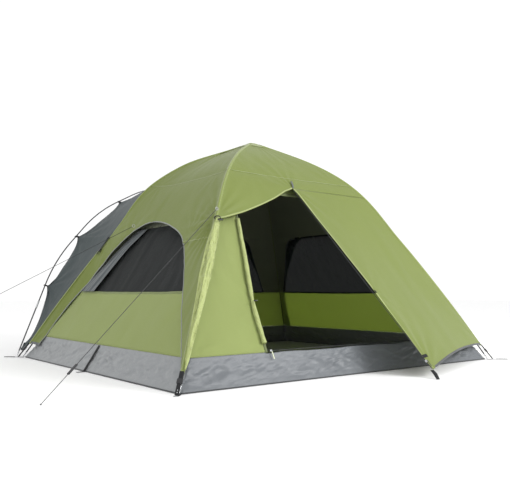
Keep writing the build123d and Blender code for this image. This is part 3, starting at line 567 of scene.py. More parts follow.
def fly_half(side, sign, end):
    """The front (-1) or rear (1) half of a side of the flysheet, from the arch or the middle to the ridge."""
    c = ease(FLY_COLUMNS, 1.35)[None, :]
    z = np.repeat(fly_rows[:, None], FLY_COLUMNS, 1)
    inner = end * np.where(fly_rows < ARCH_Z, arch_edge(end, fly_rows), ARCH_S)[:, None]
    outer = (SY * reach(SKIN, fly_rows))[:, None]
    inner = np.minimum(inner, outer - 0.02)
    s = inner + (outer - inner) * c
    S = end * s
    P = face(side, SKIN, S, z)
    N = normals_of(P, 0, sign)
    share = np.clip(np.abs(s) / outer, 0, 1)
    edge = fall(s, outer, 0.05)
    sag = -0.016 * (1 - share**2) * fall(z, CROWN, 0.3) * ramp(z, 0.2, 0.5)
    folds = radiating(S, z, [
        (end * 1.0, 0.1, 0.006, 0.22, 9, 3 + end),
        (end * 0.42, 0.80, 0.0045, 0.16, 11, 7 + end),
        (end * 0.65, 0.868, 0.014 if end < 0 else 0.003, 0.13, 21, 11 + end),
        (0.0, 1.5, 0.004, 0.20, 12, 5),
        (end * 0.34, 1.21, 0.003, 0.14, 8, 15 + end),
    ])
    billow = 0.0034 * noise(S * 3.1 + 4 * sign, z * 3.3, 21 + (end > 0), 2)
    crinkle = 0.0004 * noise(S * 17, z * 15, 31) + 0.0006 * lattice(S * 3 + z * 9, z * 26 - S * 9, 33)
    # upright folds down the narrow legs
    crinkle = crinkle + 0.0022 * lattice(S * 24 + z * 3, z * 2.2, 35) * fall(z, 0.85, 0.2)
    D = sag + (folds + billow + crinkle) * edge * fall(z, CROWN, 0.05) + over_pole(outer - s)
    D = D - seam_dip(z) * edge
    # low down, the edge of the cut-out is drawn in against the inner tent
    gap = (reach(SKIN, z) - reach(INNER, z)) * SX * 0.86 - 0.008
    D = D - gap * (1 - c) * fall(z, 0.84, 0.3) * (1.0 if end > 0 else 0.45)
    P = P + N * D[..., None]
    if end > 0:
        P = P + (swell(z) * share**3)[..., None] * SWELL_WAY * [-sign, 1, 1]
    return P


def join_halves(a, b, rows=slice(None)):
    """Brings the inner edges of two halves of a side together, on the rows where the halves meet."""
    mean = (a[rows, 0] + b[rows, 0]) / 2
    a[rows, 0] = mean
    b[rows, 0] = mean


for side, sign in (("left", -1), ("right", 1)):
    a, b = fly_half(side, sign, -1), fly_half(side, sign, 1)
    join_halves(a, b, fly_rows >= ARCH_Z - 1e-9)
    obj = cloth(f"fly_{side}_cloth", [a, b[:, ::-1]], "fly_green", stands_for=[f"fly_{side}_panel"])
    below = int(np.flatnonzero(fly_rows < ARCH_Z - 1e-9)[-1]) + 2
    for grid, end in ((a, "front"), (b, "rear")):
        hem(f"fly_{side}_arch_piping_{end}", grid[:below], "first_col", "arch_piping", 0.0065, 0.0044)
        look = "fly_tape" if (side, end) == ("left", "front") else "grey_hem"
        hem(f"fly_{side}_foot_hem_{end}", grid, "first_row", look, 0.016, 0.004)
    # the short seam across the front leg, and the level seam
    k = int(np.argmin(abs(fly_rows - 0.76)))
    seam(f"fly_{side}_leg_seam", a[k], [sign, 0, 0.7], "fly_tape", count=60)
    k = int(np.argmin(abs(fly_rows - SEAM_Z)))
    run = np.concatenate([a[k, ::-1], b[k, 1:]])
    seam(f"fly_{side}_level_seam", run, [sign * 0.55, 0, 0.8], "fly_tape")

# ---------------------------------------------------------------- flysheet front: canopy over the door
# columns run across the canopy from 0 at the left ridge to 1 at the right one, and meet at the peak
peak_f = (PEAK[0] / (SX * float(reach(SKIN, PEAK[2]))) + 1) / 2
f_cols = np.unique(np.concatenate([peak_f * cosine_steps(42), peak_f + (1 - peak_f) * cosine_steps(42)]))
x_of = np.interp(f_cols, [0, peak_f], [-SX * float(reach(SKIN, GATHER_Z)), PEAK[0]])
brow = np.interp(x_of, [-0.755, -0.70, -0.569, -0.438, -0.29, -0.163, PEAK[0]],
                 [GATHER_Z, 0.874, 0.916, 0.969, 1.031, 1.091, PEAK[2]])
foot = np.where(f_cols < peak_f, brow, PEAK[2])[None, :]
Z = foot + (FLY_TOP - foot) * np.linspace(0, 1, 52)[:, None]
W = SX * reach(SKIN, Z)
X = (2 * f_cols[None, :] - 1) * W
P = face("front", SKIN, X, Z)
from_ridge = W - np.abs(X)
edge = np.clip(from_ridge / 0.05, 0, 1)
hold = np.clip(ramp(Z, PEAK[2], 0.03) + (X < PEAK[0] - 0.02), 0, 1)
D = hold * radiating(X, Z, [
    (-0.75, 0.868, 0.015, 0.13, 21, 2),
    (PEAK[0], PEAK[2] - 0.01, 0.006, 0.15, 12, 6),
    (0.0, 1.5, 0.0025, 0.2, 13, 9),
    (0.36, 1.21, 0.003, 0.15, 8, 12),
    (-0.36, 1.21, 0.003, 0.15, 8, 14),
])
D = D + 0.003 * noise(X * 3.3 + 9, Z * 3.1, 41, 2) + 0.0004 * noise(X * 16, Z * 15, 43)
D = D * edge * fall(Z, CROWN, 0.05) * np.clip((Z - foot) / 0.02 + 0.25, 0, 1)
D = D - 0.012 * np.clip(1 - (X / W) ** 2, 0, 1) * ramp(Z, 1.13, 0.1) * fall(Z, CROWN, 0.2)
D = D + over_pole(from_ridge) - seam_dip(Z) * edge
canopy = P + normals_of(P, 1, -1) * D[..., None]

# the closed right-hand flap runs on from the canopy, out to its pegged tip
down = np.linspace(0, 1, 84)
t = down[:, None]
c = cosine_steps(60)[None, :]
free = PEAK + (TIP - PEAK) * t + unit([0.9, 0.25, 0.1]) * 0.026 * np.sin(math.pi * t)
right = ridge("front_right", PEAK[2] + (HEM - PEAK[2]) * down)
P = free[:, None] * (1 - c[..., None]) + right[:, None] * c[..., None]
P[..., 2] += 0.032 * np.sin(math.pi * c) * ramp(t, 0.45, 0.55) ** 2
from_ridge = (1 - c) * np.linalg.norm(right - free, axis=-1)[:, None]
edge = np.clip(from_ridge / 0.05, 0, 1) * np.clip(t / 0.04, 0, 1)
D = radiating(c, t, [
    (0.0, 1.0, 0.010, 0.20, 13, 4),
    (1.0, 1.0, 0.005, 0.16, 9, 8),
    (0.0, 0.0, 0.007, 0.18, 10, 10),
    (0.0, 0.616, 0.006, 0.12, 9, 13),
]) * edge
D = D + (0.004 * noise(c * 3, t * 3.4, 51, 2) + 0.0004 * noise(c * 17, t * 17, 53)) * edge
D = D - 0.010 * np.sin(math.pi * c) * np.sin(math.pi * t)
D = D + 0.0022 * lattice((c + t * 0.35) * 11, t * 1.6, 57) * np.clip(t * 2, 0, 1) * edge
D = D + over_pole(from_ridge)
flap = P + normals_of(P, 1, -1) * D[..., None]

obj = cloth("fly_canopy_cloth", [canopy], "fly_green", stands_for=["fly_front_canopy"])
obj = cloth("fly_flap_cloth", [flap], "fly_green", flip=True, stands_for=["fly_front_flap"])

at_peak = int(np.argmin(abs(f_cols - peak_f)))
hem("fly_brow_hem", canopy[:, : at_peak + 1], "first_row", "fly_hem", 0.009, 0.0034)
hem("fly_flap_edge_hem", flap, "first_col", "fly_hem", 0.009, 0.0024)
clear_of_zip = int(np.argmax(np.linalg.norm(flap[-1] - flap[-1, 0], axis=1) > 0.034))
hem("fly_flap_foot_hem", flap, "last_row", "piping_dark", 0.011, 0.0034, clear_of_zip, slot="canopy_grey")
# the seam between canopy and flap, from the peak to the ridge, and the level seam
run = canopy[0, at_peak:]
seam("fly_flap_seam", run, [0, -0.6, 0.8], "fly_green", width=0.007, lift=0.0004, base=-0.0008)
run = []
for j, heights in enumerate(Z.T):
    i = int(np.clip(np.searchsorted(heights, SEAM_Z), 1, len(heights) - 1))
    w = (SEAM_Z - heights[i - 1]) / (heights[i] - heights[i - 1])
    run.append(canopy[i - 1, j] * (1 - w) + canopy[i, j] * w)
seam("fly_front_level_seam", np.array(run), [0, -0.6, 0.8], "fly_tape")


# ---------------------------------------------------------------- ridges and crown of the flysheet
def ridge_tape(name, pts, out, profile, look):
    """A tape or sleeve along a ridge, square to the way out."""
    swept(name, pts, unit(np.cross(unit(np.gradient(pts, axis=0)), out)), out, profile, look)


for corner, (cx, cy) in CORNERS.items():
    zs = np.linspace(HEM - 0.004, CROWN - 0.012, 200)
    pts, out = ridge(corner, zs), ridge_out(corner, zs)
    if cy > 0:
        pts = pts + swell(zs)[:, None] * SWELL_WAY * [-cx, 1, 1]
    if corner == "rear_left":
        # the strap's buckle presses the sleeve in
        pts = pts - 0.0045 * out * np.exp(-(((zs - 0.83) / 0.045) ** 4))[:, None]
    # a sleeve over the crease: round on top, its skirts lying on both faces
    profile = [(0.0105 * k, 0.0052 - 0.0085 * abs(k) ** 1.7) for k in np.linspace(-1, 1, 13)]
    profile += [(0.0097, -0.0068), (0, -0.002), (-0.0097, -0.0068)]
    ridge_tape(f"fly_ridge_{corner}", pts, out, profile, "fly_tape")

# a cap of cloth over the four ridges: rounded rectangles, each drawn in further than the one below
turn = np.linspace(0, math.tau, 97)
corner_power = 5.0
rect_x, rect_y = np.cos(turn), np.sin(turn)
round_off = (np.abs(rect_x) ** corner_power + np.abs(rect_y) ** corner_power) ** (1 / corner_power)
rect_x, rect_y = rect_x / round_off, rect_y / round_off
shell = []
for z in np.linspace(1.4795, 1.5118, 12):
    r = float(reach(SKIN, min(z, 1.5098))) + 0.0055
    shell.append(np.stack([SX * r * rect_x, SY * r * rect_y, np.full_like(turn, z)], -1))
skirt_top = shell[-1]
for shrink in (0.9, 0.7, 0.45, 0.2, 0.02):
    shell.append(skirt_top * [shrink, shrink, 1] + [0, 0, 0.0016 * (1 - shrink)])
shell = np.array(shell)
shell = shell + (0.0006 * noise(shell[..., 0] * 30, shell[..., 1] * 30, 61, 2))[..., None] * UP
cloth("crown_cap", [shell], "fly_tape", thickness=0.0014, stands_for=["crown_patch"])

# ---------------------------------------------------------------- the gathered left-hand door of the flysheet
# the door's cloth is folded to and fro in layers, and t runs down the pile from the tie to its foot
layers, per_layer = 11, 18
t = np.linspace(0, 1, 190)
middle = ridge("front_left", GATHER_Z - 0.004 + (0.108 - GATHER_Z) * t) + [0.006, -0.012, 0.003]
middle = middle + np.array([0.004, -0.003, 0]) * np.sin(math.pi * t)[:, None]
tangent = unit(np.gradient(middle, axis=0))
facing = np.array([-0.50, -1.0, 0.60])
out = unit(facing - tangent * (tangent @ facing)[:, None])
side = unit(np.cross(out, tangent))
half_width = np.interp(t, [0, 0.05, 0.135, 0.43, 0.6, 0.775, 0.95, 1],
                       [0.009, 0.021, 0.030, 0.034, 0.029, 0.021, 0.013, 0.004])
pile = 0.007 + 0.009 * np.clip(t / 0.2, 0, 1) - 0.010 * ramp(t, 0.6, 0.4)
p = np.linspace(0, layers, layers * per_layer + 1)
across = np.cos(math.pi * p)
turns = np.arange(layers + 1)
gathered = []
for i, ti in enumerate(t):
    # each turn of the cloth reaches a little less far than the one under it
    wide = 0.78 + 0.22 * lattice(turns * 1.31 + 2, ti * 3.2, 71)
    wide = wide * (1 - 0.50 * (turns / layers) ** 1.1)
    shift = 0.22 * (turns / layers) * math.sin(2.1 * ti + 0.4) + 0.06 * lattice(turns * 0.9, ti * 5, 75)
    a = half_width[i] * (np.interp(p, turns, wide) * across + np.interp(p, turns, shift))
    puff = 1 + 0.25 * lattice(p * 1.5, ti * 4.0, 73)
    b = pile[i] * (p / layers) * puff + 0.0022 * (1 - across**2) * np.sin(p * 2.2 + 3 * ti)
    b = b + 0.0042 * (1 - 2 * np.abs(lattice(a * 62 + 2.2 * ti, ti * 10, 77)))
    b = b + 0.0022 * lattice(a * 150 + p, ti * 34, 79)
    b = b + 0.25 * pile[i] * (1 - (a / half_width[i]) ** 2).clip(0, 1)
    gathered.append(middle[i] + side[i] * a[:, None] + out[i] * (b - 0.003)[:, None])
gathered = np.array(gathered)
gathered[..., 2] = np.maximum(gathered[..., 2], 0.03)
# the pile is drawn in the lighter copy of the fly green: painted light on the folds
obj = cloth("fly_door_gathered", [gathered], "fly_painted_light", thickness=0.0006, stands_for=["fly_door_roll"])

# ---------------------------------------------------------------- rear awning
# the left half of the hoop, as (x, z) from its foot to its top, with a clip at each point but the first
HOOP_Y = 1.148
HOOP = np.array([(-1.226, 0.046), (-1.05, 0.512), (-0.823, 0.8835), (-0.4718, 1.187), (0.0, 1.325)])
hoop_run = smooth_run(HOOP, 150)
h = np.linspace(0, 1, len(hoop_run))
v = np.linspace(0, 1, 44)
ridge_z = np.interp(h, [0, 0.22, 0.45, 0.7, 0.88, 1.0], [0.104, 0.42, 0.80, 1.18, 1.40, 1.505])
nearest = lambda q: float(h[int(np.argmin(np.linalg.norm(hoop_run - q, axis=1)))])
clip_shares = np.array([0.02] + [nearest(q) for q in HOOP[1:4]] + [1.0])
hoop_tangent = unit(np.gradient(hoop_run, axis=0))
hoop_inward = np.stack([hoop_tangent[:, 1], -hoop_tangent[:, 0]], -1)


def awning_half():
    """The left half of the awning: rows from the foot to the top, columns from the ridge to the hoop."""
    start = ridge("rear_left", ridge_z) + [0.0035, 0.0065, 0.0] + swell(ridge_z)[:, None] * SWELL_WAY
    start[-1] = [0.0, SY * 0.07, 1.509]
    start[-2, 1] = min(start[-2, 1], start[-1, 1] + 0.01)
    # between its clips the free edge hangs back from the hoop, in an arc with steep ends
    dip, bow = np.zeros(len(h)), np.zeros(len(h))
    for a, b in zip(clip_shares, clip_shares[1:]):
        x = ramp(h, a, b - a)
        dip = np.maximum(dip, 1 - np.abs(2 * x - 1) ** 5.0)
        bow = np.maximum(bow, 1 - (2 * x - 1) ** 2)
    edge = hoop_run + (0.012 + 0.014 * dip + 0.021 * bow)[:, None] * hoop_inward
    end = np.stack([edge[:, 0], HOOP_Y - 0.004 - 0.012 * dip, edge[:, 1]], -1)
    span = np.linalg.norm(end - start, axis=1)[:, None]
    pull_in = dip[:, None] * np.minimum(0.010, 0.03 * span)
    w = (v * (1 - pull_in / span))[..., None]
    P = start[:, None] * (1 - w) + end[:, None] * w
    P[..., 2] -= 0.003 * dip[:, None] * v**2
    N = normals_of(P)
    N = N * np.sign(N[..., 2:3] + 1e-9)
    H, V = h[:, None], v[None, :]
    D = 0.004 * noise(H * 9 + 5, V * 2.2, 81, 2) + 0.0009 * noise(H * 40, V * 18, 83)
    for c in clip_shares:
        across, away = (H - c) * 2.1, (1 - V) * span
        d = np.hypot(across, away)
        D = D + 0.008 * np.sin(np.arctan2(across, away) * 11 + c * 20) * (d / (d + 0.04)) * np.exp(-d / 0.2)
    D = D * np.clip(V / 0.06, 0, 1) - 0.02 * np.sin(math.pi * V) * np.clip(span, 0, 1)
    P = P + N * D[..., None]
    P[-1, :, 0] = 0
    P[..., 2] = np.maximum(P[..., 2], 0.03)
    return P


for side, sign in (("left", -1), ("right", 1)):
    P = awning_half() * [-sign, 1, 1]
    obj = cloth(f"awning_{side}_cloth", [P], "canopy_grey", flip=sign > 0, stands_for=[f"rear_awning_{side}"])
    hem(f"awning_{side}_edge_hem", P, "last_col", "grey_hem", 0.016, 0.004)
    hem(f"awning_{side}_foot_hem", P, "first_row", "grey_hem", 0.016, 0.004)
    # a webbing tab from the edge to each clip on the hoop
    for k, c in enumerate(clip_shares[1:-1]):
        i = int(round(c * (len(h) - 1)))
        a = P[i, -3]
        b = np.array([-sign * hoop_run[i, 0], HOOP_Y, hoop_run[i, 1]])
        b = b + unit(b - a) * 0.010
        strap(f"awning_{side}_tab_{k}", [a, (a + b) / 2, b], unit([sign * 0.5, 0.2, 0.8]), 0.022, count=12)
    if side == "left":
        top_run = P[-1]
seam("awning_top_seam", top_run, UP, "grey_hem", width=0.014, lift=0.0016)

# ---------------------------------------------------------------- inner tent walls
# the axis that each side faces along, and which way
FACING = {"left": (0, -1), "right": (0, 1), "front": (1, -1), "rear": (1, 1)}


def inner_panel(name, side, rows, inner_edge, outer_edge, columns, look, stands_for,
                sag=0.012, seed=0, folds=(), drape=0.0, join_from=0, halves=(-1, 1)):
    """A wall of the inner tent as one or two halves, each from an inner edge to an outer one."""
    axis, sign = FACING[side]
    grids = []
    for end in halves:
        z = np.repeat(rows[:, None], columns, 1)
        outer = outer_edge(rows)[:, None]
        inner = np.minimum(inner_edge(rows)[:, None], outer - 0.01)
        s = inner + (outer - inner) * ease(columns, 1.2)[None, :]
        S = end * s
        P = face(side, INNER, S, z)
        full = (SX if axis else SY) * reach(INNER, z)
        share = np.clip(s / full, 0, 1)
        edge = fall(s, full, 0.04) * np.clip((z - rows[0]) / 0.03 + 0.15, 0, 1)
        D = -sag * (1 - share**2) * ramp(z, 0.15, 0.3) * fall(z, 1.46, 0.3)
        uneven = 0.003 * noise(S * 3.4 + seed, z * 3.1, 101 + seed, 2)
        D = D + (uneven + 0.0008 * noise(S * 18, z * 16, 103 + seed)) * edge
        D = D + radiating(S, z, [(end * s0, *fold) for s0, *fold in folds]) * edge
        if drape:
            hang = lattice(S * 17 + 0.8 * lattice(z * 4, S * 2, 7 + seed), z * 1.3, 107 + seed)
            D = D + drape * (hang + 0.5 * lattice(S * 34, z * 2.1, 109 + seed)) * edge
        grids.append(P + normals_of(P, axis, sign) * D[..., None])
    pair = grids
    if len(grids) == 2:
        join_halves(*grids, rows >= join_from)
        pair = [grids[0], grids[1][:, ::-1]]
    obj = cloth(name, pair, look, thickness=0.0009, stands_for=stands_for)
    return grids


# the mesh windows: heights, half widths at the sill and the top, and the radius of the upper corners
WIN_SILL, WIN_TOP = 0.459, 0.89
WIN_LOW, WIN_HIGH, WIN_ROUND = 0.75, 0.40, 0.07
BEND = WIN_TOP - WIN_ROUND


def window_half(z):
    """Half the width of the mesh windows at heights z, with rounded upper corners."""
    half = WIN_LOW + (WIN_HIGH - WIN_LOW) * (z - WIN_SILL) / (WIN_TOP - WIN_SILL)
    drop = WIN_ROUND - np.sqrt(np.maximum(WIN_ROUND**2 - (z - BEND) ** 2, 0))
    return np.where(z > BEND, np.maximum(half - drop * 1.15, 0), half)


def ridge_half(side):
    """Half the width of a side between its ridges, as a function of height."""
    return lambda z: (SX if FACING[side][0] else SY) * reach(INNER, z) - 0.0005


round_rows = BEND + WIN_ROUND * np.sin(np.linspace(0, math.pi / 2, 14))
win_rows = np.concatenate([np.linspace(WIN_SILL, BEND, 26)[:-1], round_rows])
upper_rows = np.concatenate([win_rows, np.linspace(WIN_TOP, INNER_TOP, 40)[1:]])
low_rows = np.linspace(BAND_TOP, WIN_SILL, 22)
# the mesh runs on a little way behind the wall over the window
mesh_rows = np.concatenate([win_rows[:-1], [WIN_TOP + 0.004, WIN_TOP + 0.014]])
mesh_half = lambda z: window_half(np.minimum(z, win_rows[-2]))
for side, sign in (("left", -1), ("right", 1), ("rear", 1)):
    if side == "rear":
        poles, wide, out = ["pole_rear_left", "pole_rear_right"], 2.25, [0, 1, 0.3]
    else:
        poles, wide, out = [f"pole_rear_{side}", f"pole_front_{side}"], 1.9, [sign, 0, 0.3]
    low = inner_panel(
        f"inner_{side}_lower_wall", side, low_rows, np.zeros_like, ridge_half(side), 44, "lining_green",
        [f"inner_{side}_wall"], seed=len(side),
        folds=[(0.9, 0.16, 0.005, 0.2, 9, 3), (0.73, 0.46, 0.005, 0.12, 8, 4)], drape=0.0012,
    )
    up = inner_panel(
        f"inner_{side}_upper_wall", side, upper_rows, lambda z: np.where(z < WIN_TOP, window_half(z), 0),
        ridge_half(side), 34, "lining_shade", [f"inner_{side}_roof"],
        seed=3 + len(side),
        folds=[(0.40, 0.88, 0.004, 0.15, 9, 6), (0.0, 1.45, 0.003, 0.2, 9, 5)], join_from=WIN_TOP,
    )
    inner_panel(
        f"inner_{side}_mesh", side, mesh_rows, np.zeros_like, mesh_half, 40, "mesh_black",
        [f"inner_{side}_window"], sag=0.016, seed=9 + len(side),
        folds=[(0.73, 0.46, 0.005, 0.14, 7, 3), (0.40, 0.88, 0.005, 0.14, 7, 8)], drape=0.0018,
    )
    beside_window = int(np.flatnonzero(upper_rows <= WIN_TOP)[-1]) + 1
    for grid, end in zip(up, ("front", "rear")):
        hem(f"inner_{side}_window_edge_{end}", grid[:beside_window], "first_col", "piping_dark", 0.009, 0.004)
    sill = np.concatenate([low[0][-1, ::-1], low[1][-1, 1:]])
    seam(f"inner_{side}_sill_tape", sill, out, "lining_tape", width=0.014, lift=0.0016)

# the front of the inner tent: a panel either side of the doorway, and the cloth over it
# the doorway's edge, as (height, distance from the middle)
DOOR = np.array([(BAND_TOP, 0.650), (0.41, 0.641), (0.915, 0.555), (1.085, 0.40)])
LINTEL_Z = DOOR[-1, 0]
door_half = lambda z: np.interp(z, DOOR[:, 0], DOOR[:, 1])
for name, end in (("left", -1), ("right", 1)):
    front, = inner_panel(
        f"inner_front_{name}_cloth", "front", np.linspace(BAND_TOP, LINTEL_Z, 70), door_half,
        ridge_half("front"), 36, "lining_green", [f"inner_front_{name}_panel"],
        sag=0.0, seed=40 + end, drape=0.0012, halves=(end,),
        folds=[(1.1, 0.16, 0.006, 0.2, 9, 3), (0.64, 0.41, 0.006, 0.14, 9, 6), (0.5, 1.0, 0.005, 0.16, 9, 2)],
    )
    hem(f"inner_front_{name}_door_edge", front, "first_col", "zip_tape", 0.016, 0.003)
head = inner_panel(
    "inner_front_head_cloth", "front", np.linspace(LINTEL_Z, INNER_TOP, 34), np.zeros_like,
    ridge_half("front"), 30, "lining_green", ["inner_front_roof"],
    sag=0.010, seed=50, folds=[(0.4, 1.09, 0.004, 0.15, 9, 4)],
)
lintel = np.concatenate([head[0][0, ::-1], head[1][0, 1:]])
seam("inner_door_head_tape", lintel, [0, -1, 0.3], "zip_tape", width=0.02, lift=0.0016)
for corner in CORNERS:
    zs = np.linspace(0.152, 1.452, 130)
    profile = [(0.008 * k, 0.0018 - 0.0055 * abs(k) ** 1.4) for k in np.linspace(-1, 1, 9)] + [(0.0, -0.002)]
    pts, out = ridge(corner, zs, INNER), ridge_out(corner, zs, INNER)
    ridge_tape(f"inner_ridge_{corner}", pts, out, profile, "lining_tape")


# ---------------------------------------------------------------- bathtub groundsheet
def rounded_rectangle(half_x, half_y, corner, per_side, per_corner):
    """A closed run round a rectangle with rounded corners, from the start of its corner at (x, -y)."""
    arcs = []
    for k, (qx, qy) in enumerate(((1, -1), (1, 1), (-1, 1), (-1, -1))):
        a = (k - 1) * math.pi / 2 + np.linspace(0, math.pi / 2, per_corner)
        middle = np.array([qx * (half_x - corner), qy * (half_y - corner)])
        arcs.append(middle + corner * np.stack([np.cos(a), np.sin(a)], -1))
    w = np.linspace(0, 1, per_side + 2)[1:-1, None]
    sides = [arc[-1] * (1 - w) + after[0] * w for arc, after in zip(arcs, arcs[1:] + arcs[:1])]
    return np.concatenate([run for pair in zip(arcs, sides) for run in pair] + [arcs[0][:1]])


band = []
for z in np.linspace(0.004, 0.1495, 30):
    r = float(reach(INNER, z)) - 0.0008
    loop = rounded_rectangle(SX * r, SY * r, 0.022, 150, 9)
    band.append(np.column_stack([loop, np.full(len(loop), z)]))
band = np.array(band)
N = unit(normals_of(band) * [1, 1, 0])
N = N * np.sign((N * unit(band * [1, 1, 0])).sum(-1, keepdims=True))
x, y, z = band[..., 0], band[..., 1], band[..., 2]
free = np.sin(math.pi * np.clip(z / BAND_TOP, 0, 1)) ** 0.7
u = np.where(np.abs(x) * HALF_Y > np.abs(y) * HALF_X, y, x)
D = 0.0075 * lattice(u * 8 + z * 22, z * 12 + 3, 121)
D = D + 0.0058 * (1 - 2 * np.abs(lattice(u * 15 - z * 38, z * 14, 123))) * np.clip(z / 0.03, 0, 1)
D = D + 0.0022 * noise(u * 34 + z * 30, z * 38, 127, 2)
D = D + radiating(u, z * 1.6, [(s0, 0.0, 0.0075, 0.16, 9, 31) for s0 in (-1.2, 1.2, -1.02, 1.02, 0.0)])
band = band + N * (-np.abs(D) * free - 0.002 * free)[..., None]
# the rim sinks a little in the doorway
door = (np.abs(x) < 0.66) & (y < 0)
band[..., 2] += np.where(door, -0.006 * np.clip(z / BAND_TOP, 0, 1) ** 2 * np.abs(lattice(x * 6, 0, 125)), 0)
band[:, -1] = band[:, 0]
obj = cloth("groundsheet_band", [band], "groundsheet_grey", stands_for=["bathtub_floor"])
# the front faces of the band take the darker copy of the groundsheet grey: painted shade
obj.data.materials.append(M["groundsheet_painted_shade"])
for poly in obj.data.polygons:
    if poly.center.y < -0.9 and abs(poly.normal.y) > abs(poly.normal.x):
        poly.material_index = 1

g = np.linspace(-1, 1, 90)
g = np.sign(g) * np.abs(g) ** 0.9
floor_x, floor_y = np.meshgrid(g * (HALF_X - 0.006), g * (HALF_Y - 0.006))
inside = 1 - np.maximum(np.abs(g)[None, :], np.abs(g)[:, None]) ** 8
floor_z = 0.0016 + 0.0022 * np.abs(noise(floor_x * 3, floor_y * 3, 131)) * inside
floor_grid = np.stack([floor_x, floor_y, floor_z], -1)
obj = cloth("groundsheet_floor", [floor_grid], "groundsheet_grey", thickness=0.0009)

pts = band[0]
out = unit(np.cross(unit(np.gradient(pts, axis=0)), UP))
out = out * np.sign((out * unit(pts * [1, 1, 0])).sum(-1, keepdims=True))
centre = pts + out * 0.0004
centre[:, 2] = np.maximum(centre[:, 2], 0.0038)
profile = [(0.0026 * math.cos(a), 0.0034 * math.sin(a)) for a in ring(8)]
up = np.broadcast_to(UP, out.shape)
swept("groundsheet_foot_piping", centre, out, up, profile, "piping_dark", caps=False)

# ---------------------------------------------------------------- the rolled inner door
at_edge = ((-0.662, 0.196), (-0.655, 0.40), (-0.612, 0.65), (-0.572, 0.88))
centre = smooth_run([(x, -(SY * float(reach(INNER, z)) + 0.0155), z) for x, z in at_edge], 90)
side, up = frames_along(centre, np.array([0.0, -1.0, 0.3]))
roll_in, roll_out, turns = 0.0015, 0.0118, 12
angle = np.linspace(0, math.tau * turns, turns * 30)
radius = roll_in + (roll_out - roll_in) * angle / angle[-1]
roll = []
for i, ti in enumerate(np.linspace(0, 1, len(centre))):
    # the tie draws the roll in at a third of its length
    tied = 1 - 0.30 * np.exp(-(((ti - 0.33) / 0.035) ** 2))
    wave = 1 + 0.13 * lattice(np.cos(angle) * 1.6 + 5, ti * 17, 141)
    wave = wave + 0.06 * lattice(np.sin(angle) * 2.4 + 9, ti * 36, 143)
    swirl = angle + 0.5 * ti
    r = (radius * wave * tied * (1 + 0.06 * math.sin(5 * ti)))[:, None]
    flattened = side[i] * 1.15 * np.cos(swirl)[:, None] + up[i] * 0.95 * np.sin(swirl)[:, None]
    roll.append(centre[i] + r * flattened)
roll = np.array(roll)
# the roll is drawn in the lighter copy of the lining green: painted highlights
obj = cloth("inner_door_rolled", [roll], "lining_painted_light", thickness=0, stands_for=["inner_door_roll"])

# ---------------------------------------------------------------- window flap, half open over the mesh
z = np.linspace(0.464, 0.878, 60)[:, None]
k = np.linspace(0, 1, 49)[None, :]
far = window_half(z) - 0.006
near = np.minimum(np.interp(z, [0.463, 0.609, 0.76, 0.88], [0.506, 0.428, 0.352, 0.245]), far - 0.03)
window_flap = face("left", INNER, near + (far - near) * k, z)
lift = 0.0075 + 0.0032 * np.sin(k * 11 + 4 * z) + 0.0016 * np.sin(k * 31 - 9 * z)
window_flap[..., 0] -= lift + 0.003 * lattice(k * 5, z * 9, 151) - 0.004 * k**4
obj = cloth("left_window_flap", [window_flap], "window_grey", thickness=0.0009, stands_for=["window_flap"])
hem("left_window_flap_hem", window_flap, "first_col", "grey_hem", 0.010, 0.003)


# ---------------------------------------------------------------- webbing: straps, tabs and ties
def at(corner, r, z):
    """A point over a corner's diagonal: r out from the centre line, z up."""
    return radial(corner) * r + UP * z


for corner in CORNERS:
    over = unit(radial(corner) + UP * 0.8)
    stands_for = ["ground_straps"] if corner == "front_left" else ()
    outer = [at(corner, 1.5773, 0.1009), at(corner, 1.6148, 0.0539), at(corner, 1.6523, 0.0069)]
    inner = [at(corner, 1.5750, 0.0990), at(corner, 1.6125, 0.0520), at(corner, 1.6500, 0.0050)]
    foot = [at(corner, 1.612, 0.0022), at(corner, 1.634, 0.0012), at(corner, 1.6535, 0.0012)]
    strap(f"strap_outer_{corner}", outer, over, 0.020, stands_for=stands_for)
    strap(f"strap_inner_{corner}", inner, over, 0.020, thick=0.0014)
    strap(f"strap_foot_{corner}", foot, UP, 0.020, thick=0.0012, count=16)
for corner in CORNERS:
    # two small rivets through the webbing, each a low dome
    along = unit(radial(corner) * 0.0405 - UP * 0.0495)
    face_out = unit(np.cross(np.cross(along, unit(radial(corner) + UP * 0.8)), along))
    across = unit(np.cross(face_out, along))
    dome = [(0.0026, 0.0), (0.0026, 0.0005), (0.0021, 0.0009), (0.0008, 0.0011), (0.00001, 0.0011)]
    for k, (r, z) in enumerate(((1.6381, 0.0247), (1.6453, 0.0157))):
        mid = at(corner, r, z) + face_out * 0.0008
        verts = [mid + wide * (math.cos(a) * across + math.sin(a) * along) + face_out * rise
                 for wide, rise in dome for a in ring(24)]
        build(f"rivet_{corner}_{k}", verts, grid_faces(len(dome), 24, 0, True), "metal_silver")
for corner in ("front_right", "rear_left", "rear_right"):
    run = [at(corner, 1.6765, 0.0025), at(corner, 1.712, 0.0029), at(corner, 1.7535, 0.0025)]
    node = f"corner_tab_{corner}"
    strap(f"webbing_tab_{corner}", run, UP, 0.013, thick=0.0032, count=40, body=node, stands_for=[node])
for side, sign in (("left", -1), ("right", 1)):
    top_x = SX * float(reach(INNER, 0.148)) + 0.0018
    run = [(sign * top_x, 0, 0.146), (sign * (top_x + 1.2268) / 2, 0, 0.0745), (sign * 1.2275, 0, 0.004)]
    strap(f"strap_side_{side}", run, unit([sign, 0, 0.6]), 0.024, thick=0.0015, count=30)
    run = [(sign * x, 0, 0.0011) for x in (1.2265, 1.248, 1.270)]
    strap(f"strap_side_foot_{side}", run, UP, 0.024, thick=0.0013, count=20)

